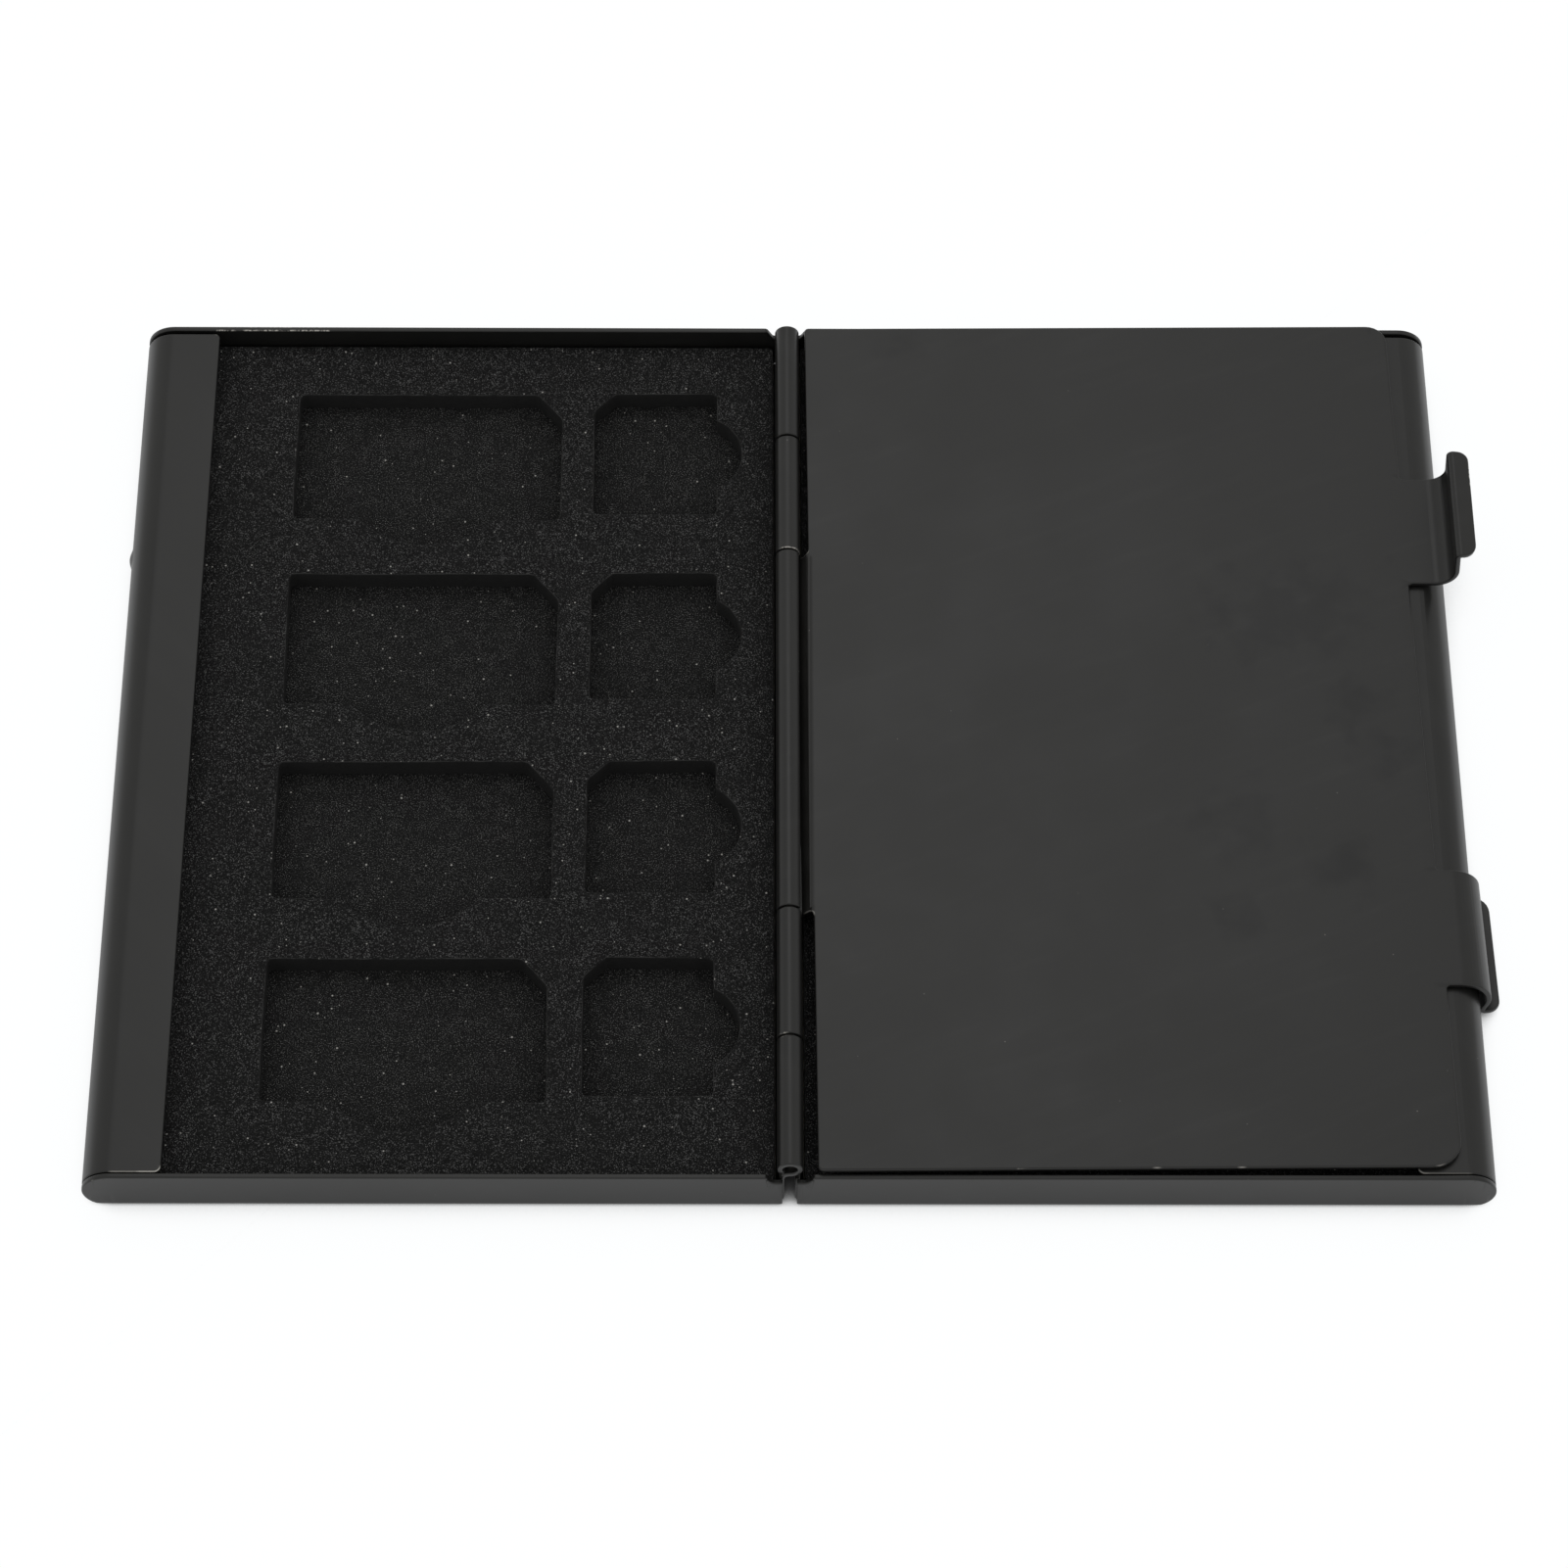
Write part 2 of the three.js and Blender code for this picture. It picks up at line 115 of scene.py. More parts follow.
def newGroup(name, inputs, outputs):
    tree = bpy.data.node_groups.new(name, "ShaderNodeTree")
    for label, value in inputs.items():
        socket = tree.interface.new_socket(label, in_out="INPUT", socket_type="NodeSocketFloat")
        socket.default_value = value
    for label in outputs:
        tree.interface.new_socket(label, in_out="OUTPUT", socket_type="NodeSocketFloat")
    taken = tree.nodes.new("NodeGroupInput").outputs
    given = tree.nodes.new("NodeGroupOutput").inputs
    place = addNode(tree, "TexCoord").outputs["Object"]
    return tree, taken, given, place


def perMetre(tree, size):  # texture scale for a feature size in millimetres
    return maths(tree, "DIVIDE", 1 / mm, size)


def addNoise(tree, place, scale, detail):
    inputs = {"Vector": place, "Scale": scale, "Detail": detail}
    return addNode(tree, "TexNoise", inputs).outputs["Fac"]


# fine tooth of the coating, and slow drift of its tone
def makeFineGrain():
    tree, taken, given, place = newGroup("fineGrain", {"Tooth": 0.2, "Drift": 14.0}, ["Height", "Tone"])
    tooth = addNoise(tree, place, perMetre(tree, taken["Tooth"]), 3.0)
    drift = addNoise(tree, place, perMetre(tree, taken["Drift"]), 4.0)
    feed(tree, tooth, given["Height"])
    feed(tree, between(tree, drift, 0.3, 0.7), given["Tone"])
    return tree


# coating rubbed off along the sheet's edges: specks where it is worn, a line where it is polished
rubbing = {"specksPerMm": 4, "whole": 0.95, "wornGain": 0.4, "softness": 0.12, "breaks": (0.38, 0.62)}


def makeRubbedEdges():
    r = rubbing
    tree, taken, given, place = newGroup(
        "rubbedEdges", {"Amount": 0.3, "Stretch": 3.0, "Worn": 0.0, "Polished": 0.0}, ["Mask"])
    edge = addNode(tree, "Attribute", attribute_name="rub").outputs["Fac"]
    slow = addNoise(tree, place, perMetre(tree, taken["Stretch"]), 5.0)
    fine = addNoise(tree, place, r["specksPerMm"] / mm, 2.0)
    low = maths(tree, "SUBTRACT", r["whole"], taken["Amount"])
    low = maths(tree, "SUBTRACT", low, maths(tree, "MULTIPLY", taken["Worn"], r["wornGain"]))
    broken = between(tree, slow, low, maths(tree, "ADD", low, r["softness"]))
    speckled = maths(tree, "MULTIPLY", broken, between(tree, fine, *r["breaks"]))
    shown = maths(tree, "MAXIMUM", speckled, taken["Polished"])
    feed(tree, maths(tree, "MULTIPLY", edge, shown), given["Mask"])
    return tree


# loose pale dots: dust on the sheet, bright cells in the foam
dotShape = {"smallest": 0.4, "core": 0.4}  # shares of a dot's size


def makeDustSpecks():
    tree, taken, given, place = newGroup(
        "dustSpecks", {"Spacing": 2.0, "Size": 0.08, "Share": 0.3}, ["Mask"])
    cells = addNode(tree, "TexVoronoi", {"Vector": place, "Scale": perMetre(tree, taken["Spacing"])})
    reach = maths(tree, "MULTIPLY", cells.outputs["Distance"], taken["Spacing"])
    pick = addNode(tree, "SeparateColor", {"Color": cells.outputs["Color"]})
    size = maths(tree, "ADD", pick.outputs["Green"], dotShape["smallest"])
    size = maths(tree, "MULTIPLY", taken["Size"], size)
    dot = between(tree, reach, size, maths(tree, "MULTIPLY", size, dotShape["core"]))
    kept = maths(tree, "LESS_THAN", pick.outputs["Red"], taken["Share"])
    feed(tree, maths(tree, "MULTIPLY", dot, kept), given["Mask"])
    return tree


# long faint marks where a sheet was wiped
wiping = {"drawnOut": (0.12, 1.0, 1.0), "shown": (0.5, 0.72)}


def makeWipeMarks():
    tree, taken, given, place = newGroup("wipeMarks", {"Width": 3.0, "Turn": 0.9}, ["Mask"])
    turning = {"Vector": place, "Angle": taken["Turn"]}
    turned = addNode(tree, "VectorRotate", turning, rotation_type="Z_AXIS")
    stretch = {0: turned.outputs[0], 1: wiping["drawnOut"]}
    drawn = addNode(tree, "VectorMath", stretch, operation="MULTIPLY")
    marks = addNoise(tree, drawn.outputs[0], perMetre(tree, taken["Width"]), 3.0)
    feed(tree, between(tree, marks, *wiping["shown"]), given["Mask"])
    return tree


# dull ragged patch that a finger leaves on one face
touching = {"raggedPerMm": 0.35, "raggedness": 3.0, "fade": (2.7, 1.3)}


def makeTouchMarks():
    tree, taken, given, place = newGroup(
        "touchMarks", {"X": 0.0, "Y": 0.0, "Above": 0.0, "Reach": 4.0}, ["Mask"])
    flat = addNode(tree, "VectorMath", {0: place, 1: (1 / mm, 1 / mm, 0.0)}, operation="MULTIPLY")
    centre = addNode(tree, "CombineXYZ", {"X": taken["X"], "Y": taken["Y"]})
    away = addNode(tree, "VectorMath", {0: flat.outputs[0], 1: centre.outputs[0]}, operation="DISTANCE")
    ragged = addNoise(tree, place, touching["raggedPerMm"] / mm, 4.0)
    ragged = maths(tree, "MULTIPLY", ragged, touching["raggedness"])
    edge = maths(tree, "ADD", maths(tree, "DIVIDE", away.outputs["Value"], taken["Reach"]), ragged)
    height = maths(tree, "DIVIDE", addNode(tree, "SeparateXYZ", {0: place}).outputs["Z"], mm)
    upper = maths(tree, "GREATER_THAN", height, taken["Above"])
    feed(tree, maths(tree, "MULTIPLY", upper, between(tree, edge, *touching["fade"])), given["Mask"])
    return tree


# cut foam: small cells with pale rims, soft lumps, smooth sides from the die, painted highlight on cut
# edges
foamGrain = {
    "rimStart": 0.55, "rimOpening": 0.05, "rimSpread": 0.28,  # some patches are more open
    "side": (0.9, 0.3), "lipTop": (0.98, 0.9), "lipSide": (0.3, 0.6),  # how far a face looks up
}


def makeFoamCells():
    g = foamGrain
    tree, taken, given, place = newGroup(
        "foamCells", {"Cell": 0.2, "Lump": 1.2}, ["Height", "Rims", "Lumps", "Cut", "EdgeHighlight"])
    cell = addNode(tree, "TexNoise", {
        "Vector": place, "Scale": perMetre(tree, taken["Cell"]), "Detail": 1.0, "Roughness": 0.6})
    lumps = between(tree, addNoise(tree, place, perMetre(tree, taken["Lump"]), 3.0), 0.3, 0.7)
    low = maths(tree, "SUBTRACT", g["rimStart"], maths(tree, "MULTIPLY", lumps, g["rimOpening"]))
    rims = between(tree, cell.outputs["Fac"], low, maths(tree, "ADD", low, g["rimSpread"]))
    normal = addNode(tree, "NewGeometry").outputs["True Normal"]
    own = addNode(  # in the piece's own space, so that it folds with its tray
        tree, "VectorTransform", {0: normal},
        vector_type="NORMAL", convert_from="WORLD", convert_to="OBJECT")
    facing = addNode(tree, "SeparateXYZ", {0: own.outputs[0]}).outputs["Z"]
    cut = between(tree, facing, *g["side"])
    feed(tree, cell.outputs["Fac"], given["Height"])
    feed(tree, rims, given["Rims"])
    # painted highlight: a lighter band on the facet of the rounded top edge that is tilted part way up
    lip = between(tree, facing, *g["lipTop"])
    lip = maths(tree, "MULTIPLY", lip, between(tree, facing, *g["lipSide"]))
    feed(tree, cut, given["Cut"])
    feed(tree, maths(tree, "MULTIPLY", lip, lumps), given["EdgeHighlight"])
    feed(tree, lumps, given["Lumps"])
    return tree


fineGrain = makeFineGrain()
rubbedEdges = makeRubbedEdges()
dustSpecks = makeDustSpecks()
wipeMarks = makeWipeMarks()
touchMarks = makeTouchMarks()
foamCells = makeFoamCells()


def placeGroup(tree, group, **values):
    node = tree.nodes.new("ShaderNodeGroup")
    node.node_tree = group
    for name, value in values.items():
        feed(tree, value, node.inputs[name])
    return node.outputs


def mixColour(tree, amount, a, b):
    node = addNode(tree, "Mix", data_type="RGBA")
    feed(tree, amount, node.inputs[0])
    for value, socket in ((a, node.inputs[6]), (b, node.inputs[7])):
        feed(tree, (*value, 1.0) if isinstance(value, tuple) else value, socket)
    return node.outputs[2]


def mixValue(tree, amount, a, b):
    node = addNode(tree, "Mix", {0: amount, 2: a, 3: b}, data_type="FLOAT")
    return node.outputs[0]


def newMaterial(name):
    material = bpy.data.materials.new(name)
    material.use_nodes = True
    return material, material.node_tree, material.node_tree.nodes["Principled BSDF"]


# satin black coating on folded sheet
traySheetLook = {
    "black": (0.0104, 0.0104, 0.0100),
    "faded": (0.0124, 0.0123, 0.0117),
    "wiped": (0.0138, 0.0137, 0.0132),
    "bare": (0.62, 0.60, 0.56),
    "dust": (0.22, 0.21, 0.20),
    "touched": (0.0030, 0.0030, 0.0033),
    "roughness": (0.28, 0.35),
    "tooth": 0.16, "drift": 16.0, "toothDepth": 0.0012,
    "wipeWidth": 3.2, "wipeTurn": 0.9,
    "rubAmount": 0.27, "rubStretch": 2.5,
    "dustSpacing": 1.0, "dustSize": 0.055, "dustShare": 0.07, "wornDust": 0.6,
    "touches": (),
}
leafSheetLook = {
    **traySheetLook,
    "drift": 11.0,
    "wipeWidth": 1.5, "wipeTurn": -0.4,
    "rubAmount": 0.25,
    "touches": (  # place from the hinge pin, and reach
        (44.2, 12.2, 5.4), (48.8, 12.8, 6.6), (52.5, 2.2, 3.6), (55.0, -3.4, 3.2),
        (50.6, -14.3, 3.8), (40.6, -20.3, 2.8), (41.0, -10.0, 4.8), (11.4, 44.2, 2.6)),
}


def makeBlackSheet(name, look):
    material, tree, shader = newMaterial(name)
    grain = placeGroup(tree, fineGrain, Tooth=look["tooth"], Drift=look["drift"])
    worn = addNode(tree, "Attribute", attribute_name="worn").outputs["Fac"]
    polished = addNode(tree, "Attribute", attribute_name="polished").outputs["Fac"]
    rub = placeGroup(
        tree, rubbedEdges,
        Amount=look["rubAmount"], Stretch=look["rubStretch"], Worn=worn, Polished=polished)["Mask"]
    share = maths(tree, "ADD", look["dustShare"], maths(tree, "MULTIPLY", worn, look["wornDust"]))
    dust = placeGroup(
        tree, dustSpecks, Spacing=look["dustSpacing"], Size=look["dustSize"], Share=share)["Mask"]
    wiped = placeGroup(tree, wipeMarks, Width=look["wipeWidth"], Turn=look["wipeTurn"])["Mask"]
    colour = mixColour(tree, grain["Tone"], look["black"], look["faded"])
    colour = mixColour(tree, wiped, colour, look["wiped"])
    for x, y, reach in look["touches"]:
        touched = placeGroup(tree, touchMarks, X=pinX + x, Y=y, Above=pinZ, Reach=reach)["Mask"]
        colour = mixColour(tree, touched, colour, look["touched"])
    colour = mixColour(tree, rub, colour, look["bare"])
    colour = mixColour(tree, dust, colour, look["dust"])
    feed(tree, colour, shader.inputs["Base Color"])
    feed(tree, mixValue(tree, grain["Tone"], *look["roughness"]), shader.inputs["Roughness"])
    feed(tree, rub, shader.inputs["Metallic"])
    bump = addNode(tree, "Bump", {
        "Height": grain["Height"], "Strength": 1.0, "Distance": look["toothDepth"] * mm})
    feed(tree, bump.outputs["Normal"], shader.inputs["Normal"])
    return material


# black closed-cell foam
insertFoamLook = {
    "black": (0.0030, 0.0030, 0.0032),
    "grey": (0.0052, 0.0052, 0.0054),
    "rims": (0.162, 0.162, 0.163),
    "dots": (0.45, 0.44, 0.42),
    "cut": (0.0148, 0.0148, 0.0150),
    "lip": (0.046, 0.046, 0.046),  # painted highlight on the tilted facet of a cut's rounded top edge
    "roughness": (0.8, 1.0),
    "cell": 0.11, "lump": 1.4, "cellDepth": 0.05, "cellStrength": 0.8, "gloss": 0.25,
    "dotSpacing": 0.6, "dotSize": 0.092, "dotShare": 0.25,
}
baseFoamLook = {
    **insertFoamLook,
    "rims": (0.184, 0.184, 0.182),
    "dotShare": 0.28,
}


def makeFoam(name, look):
    material, tree, shader = newMaterial(name)
    cells = placeGroup(tree, foamCells, Cell=look["cell"], Lump=look["lump"])
    dots = placeGroup(
        tree, dustSpecks,
        Spacing=look["dotSpacing"], Size=look["dotSize"], Share=look["dotShare"])["Mask"]
    colour = mixColour(tree, cells["Lumps"], look["black"], look["grey"])
    colour = mixColour(tree, cells["Rims"], colour, look["rims"])
    colour = mixColour(tree, dots, colour, look["dots"])
    colour = mixColour(tree, cells["Cut"], colour, look["cut"])
    # painted highlight along the rounded top edges of the cuts
    colour = mixColour(tree, cells["EdgeHighlight"], colour, look["lip"])
    feed(tree, colour, shader.inputs["Base Color"])
    feed(tree, mixValue(tree, cells["Lumps"], *look["roughness"]), shader.inputs["Roughness"])
    shader.inputs["Specular IOR Level"].default_value = look["gloss"]
    bump = addNode(tree, "Bump", {
        "Height": cells["Height"], "Strength": look["cellStrength"], "Distance": look["cellDepth"] * mm})
    feed(tree, bump.outputs["Normal"], shader.inputs["Normal"])
    return material


pinLook = {
    "steel": (0.50, 0.49, 0.47),
    "stain": (0.22, 0.20, 0.18),
    "roughness": (0.28, 0.42),
    "tooth": 0.1, "drift": 3.0, "toothDepth": 0.002,
    "rubAmount": 0.4, "rubStretch": 0.6,
}


def makePinSteel(look):
    material, tree, shader = newMaterial("drawnPinSteel")
    grain = placeGroup(tree, fineGrain, Tooth=look["tooth"], Drift=look["drift"])
    rub = placeGroup(tree, rubbedEdges, Amount=look["rubAmount"], Stretch=look["rubStretch"])["Mask"]
    stained = mixColour(tree, grain["Tone"], look["stain"], look["steel"])
    feed(tree, mixColour(tree, rub, stained, look["steel"]), shader.inputs["Base Color"])
    feed(tree, mixValue(tree, grain["Tone"], *look["roughness"]), shader.inputs["Roughness"])
    shader.inputs["Metallic"].default_value = 1.0
    bump = addNode(tree, "Bump", {
        "Height": grain["Height"], "Strength": 1.0, "Distance": look["toothDepth"] * mm})
    feed(tree, bump.outputs["Normal"], shader.inputs["Normal"])
    return material


filmLook = {
    "clear": (0.34, 0.31, 0.23),
    "cloudy": (0.46, 0.44, 0.36),
    "dust": (0.10, 0.10, 0.10),
    "roughness": (0.35, 0.6),
    "tooth": 0.3, "drift": 6.0, "toothDepth": 0.01,
    "dustSpacing": 2.4, "dustSize": 0.1, "dustShare": 0.4,
}


def makeAdhesiveFilm(look):
    material, tree, shader = newMaterial("doubleSidedFilm")
    grain = placeGroup(tree, fineGrain, Tooth=look["tooth"], Drift=look["drift"])
    dust = placeGroup(
        tree, dustSpecks,
        Spacing=look["dustSpacing"], Size=look["dustSize"], Share=look["dustShare"])["Mask"]
    colour = mixColour(tree, grain["Tone"], look["clear"], look["cloudy"])
    feed(tree, mixColour(tree, dust, colour, look["dust"]), shader.inputs["Base Color"])
    feed(tree, mixValue(tree, grain["Tone"], *look["roughness"]), shader.inputs["Roughness"])
    bump = addNode(tree, "Bump", {
        "Height": grain["Height"], "Strength": 1.0, "Distance": look["toothDepth"] * mm})
    feed(tree, bump.outputs["Normal"], shader.inputs["Normal"])
    return material


traySheet = makeBlackSheet("satinBlackTray", traySheetLook)
leafSheet = makeBlackSheet("satinBlackLeaf", leafSheetLook)
insertFoam = makeFoam("dieCutFoam", insertFoamLook)
baseFoam = makeFoam("plainFoam", baseFoamLook)
pinSteel = makePinSteel(pinLook)
adhesiveFilm = makeAdhesiveFilm(filmLook)
print("materials made:", len(bpy.data.materials))


# folded sheet: a flat blank is cut out with rounded edges, then every point is carried round the bends
bendStep = 7.5  # degrees of a bend in one facet
footStep = 15
cutSlack = 1e-5  # points this near to a cut are on it
weldSlack = 1e-4  # edges shorter than this are closed up


class FoldLine:
    def __init__(self, x, z, heading):
        self.x = x
        self.z = z
        self.turn = math.radians(heading)
        self.length = 0.0
        self.moves = []  # start, x, z, heading and curvature of each stretch

    def run(self, length):
        self.moves.append((self.length, self.x, self.z, self.turn, 0.0))
        self.x += length * math.cos(self.turn)
        self.z += length * math.sin(self.turn)
        self.length += length
        return self

    def bend(self, radius, degrees):  # middle of the sheet; positive turns left
        curve = math.copysign(1 / radius, degrees)
        self.moves.append((self.length, self.x, self.z, self.turn, curve))
        end = self.turn + math.radians(degrees)
        self.x += (math.sin(end) - math.sin(self.turn)) / curve
        self.z -= (math.cos(end) - math.cos(self.turn)) / curve
        self.turn = end
        self.length += radius * abs(math.radians(degrees))
        return self

    def at(self, distance, lift):
        found = self.moves[0]
        for move in self.moves[1:]:
            if move[0] <= distance:
                found = move
        start, x, z, turn, curve = found
        along = distance - start
        if curve == 0:
            x += along * math.cos(turn)
            z += along * math.sin(turn)
        else:
            end = turn + along * curve
            x += (math.sin(end) - math.sin(turn)) / curve
            z -= (math.cos(end) - math.cos(turn)) / curve
            turn = end
        return x - lift * math.sin(turn), z + lift * math.cos(turn)

    def stops(self, step):  # where the sheet is cut into facets
        ends = [move[0] for move in self.moves[1:]] + [self.length]
        marks = []
        for move, end in zip(self.moves, ends):
            if move[4] != 0:
                count = math.ceil(math.degrees((end - move[0]) * abs(move[4])) / step)
                marks += [move[0] + (end - move[0]) * i / count for i in range(count + 1)]
        return sorted(set(round(mark, 6) for mark in marks))


def roundCorners(corners, step=15):  # corners are x, y and radius
    points = []
    for i, (x, y, radius) in enumerate(corners):
        here = Vector((x, y))
        if radius == 0:
            points.append(here)
            continue
        before = (Vector(corners[i - 1][:2]) - here).normalized()
        after = (Vector(corners[(i + 1) % len(corners)][:2]) - here).normalized()
        half = before.angle(after) / 2
        centre = here + (before + after).normalized() * radius / math.sin(half)
        first = here + before * radius / math.tan(half) - centre
        sweep = first.angle_signed(here + after * radius / math.tan(half) - centre)
        count = max(2, math.ceil(math.degrees(abs(sweep)) / step))
        for k in range(count + 1):
            points.append(centre + first @ Matrix.Rotation(sweep * k / count, 2))
    return points


def insetOutline(points, distance):  # to the left of the outline's direction
    moved = []
    for i, here in enumerate(points):
        back = (here - points[i - 1]).normalized()
        ahead = (points[(i + 1) % len(points)] - here).normalized()
        side = Vector((-back.y - ahead.y, back.x + ahead.x))
        moved.append(here + side * distance / (1 + back.dot(ahead)))
    return moved


def cutBlank(outline, thickness, edge, edgeSteps=4):
    mesh = bmesh.new()
    rub = mesh.verts.layers.float.new("rub")
    mesh.verts.layers.float.new("worn")
    mesh.verts.layers.float.new("polished")
    rings = []
    for face in (-1, 1):
        for k in range(edgeSteps + 1):
            share = k / edgeSteps if face < 0 else 1 - k / edgeSteps
            angle = share * math.pi / 2
            height = face * (thickness / 2 - edge * (1 - math.cos(angle)))
            ring = []
            for point in insetOutline(outline, edge * (1 - math.sin(angle))):
                ring.append(mesh.verts.new((point.x, point.y, height)))
                ring[-1][rub] = math.sin(2 * angle)
            rings.append(ring)
    for lower, upper in zip(rings, rings[1:]):
        for i in range(len(lower)):
            mesh.faces.new((lower[i - 1], lower[i], upper[i], upper[i - 1]))
    faces = [mesh.faces.new(rings[0][::-1]), mesh.faces.new(rings[-1])]
    mesh.normal_update()
    bmesh.ops.triangulate(mesh, faces=faces, ngon_method="EAR_CLIP")
    return mesh


def cutAcross(mesh, axis, marks):
    normal = Vector((0, 0, 0))
    normal[axis] = 1
    for mark in marks:
        crossed = []
        for face in mesh.faces:
            places = [v.co[axis] for v in face.verts]
            if min(places) < mark < max(places):
                crossed.append(face)
        parts = set(crossed)
        for face in crossed:
            parts.update(face.verts)
            parts.update(face.edges)
        bmesh.ops.bisect_plane(
            mesh, geom=list(parts), dist=cutSlack, plane_co=normal * mark, plane_no=normal)


wearFade = 0.4  # a spot of wear fades out over this far


def fadeMarks(low, high):
    return [low - wearFade, low, high, high + wearFade]


def foldPiece(name, mesh, fold, side, wear, material):
    layers = mesh.verts.layers.float
    for vert in mesh.verts:
        outside = vert.co.z > 0
        x, y, z = fold(*vert.co)
        vert.co = Vector((pinX + side * x, y, z)) * mm
        for kind, near, far, front, back, strength in wear:
            away = max(near - x, x - far, front - y, y - back, 0)
            spot = strength * (1 - away / wearFade) * (outside or kind == "worn")
            vert[layers[kind]] = max(vert[layers[kind]], spot)
    bmesh.ops.dissolve_degenerate(mesh, dist=weldSlack * mm, edges=mesh.edges[:])
    bmesh.ops.recalc_face_normals(mesh, faces=mesh.faces[:])
    return finishPiece(name, mesh, material)


def finishPiece(name, mesh, material):
    data = bpy.data.meshes.new(name)
    mesh.to_mesh(data)
    mesh.free()
    data.shade_smooth()
    data.materials.append(material)
    piece = bpy.data.objects.new(name, data)
    scene.collection.objects.link(piece)
    even = piece.modifiers.new("evenNormals", "WEIGHTED_NORMAL")
    even.keep_sharp = False
    return piece


hinge = {
    "knuckleRadius": 1.15, "halfSheet": 0.25,
    "ends": (-45.9, -32.85, -19.65, 19.4, 32.6, 45.6),  # of the five knuckles, along the pin
    "gap": 0.2,
}
rollRadius = hinge["knuckleRadius"] - hinge["halfSheet"]
lastKnuckle = len(hinge["ends"]) - 2


def knuckleSpan(place):
    front = hinge["ends"][place] + (hinge["gap"] / 2 if place > 0 else 0)
    back = hinge["ends"][place + 1] - (hinge["gap"] / 2 if place < lastKnuckle else 0)
    return front, back


tray = {
    "length": 93.0, "halfWidth": 61.9, "height": 5.35, "sheet": 0.5,
    "flange": 7.1, "flangeCornerFront": 0.6, "flangeCornerBack": 0.5,
    "curlFront": 45.9, "curlBack": 45.6,  # where the rounded edge ends
    "hingeWall": 0.45,  # pin to the wall's face
    "foot": 0.8,  # outside radius where a wall turns up
    "wallNear": 0.63, "wallChamfer": 0.5,
    "frontRelief": (  # beside the barrel: x, z and radius of each corner
        (2.0, 5.35, 0.25), (2.0, 4.35, 0.9), (0.63, 4.35, 0)),
    "backRelief": ((1.9, 5.35, 0.4), (1.3, 4.25, 0.3), (0.63, 4.25, 0)),
    "roll": 310, "rollCorner": 0.25, "rollRoot": 0.3,
    "slit": 0.12, "leastSlit": 0.02,  # cut between neighbouring folds
    "edge": 0.13,  # rounding of the sheet's cut edges
    "bumpRise": 0.25, "bumpLength": 2.3, "bumpWidth": 1.9,
    "endSteps": 28, "bumpSteps": 12,  # facets of the end wall's round and of the bump
    "wearLeft": (  # kind, nearest and farthest from the pin, front, back and strength
        ("polished", 54.5, 56.6, -45.9, -45.6, 1.0), ("polished", 56.6, 59.0, -45.9, -45.6, 0.55),
        ("worn", 44.4, 54.9, 45.6, 47.0, 0.65), ("worn", 48.6, 52.0, 45.6, 47.0, 0.95),
        ("worn", -1.3, 1.3, 31.8, 32.6, 0.6)),
    "wearRight": (
        ("polished", 54.6, 55.4, -45.9, -45.4, 0.4), ("polished", 55.4, 59.2, -45.9, -45.6, 0.22),
        ("worn", -1.3, 1.3, 19.2, 22.4, 0.6)),
}


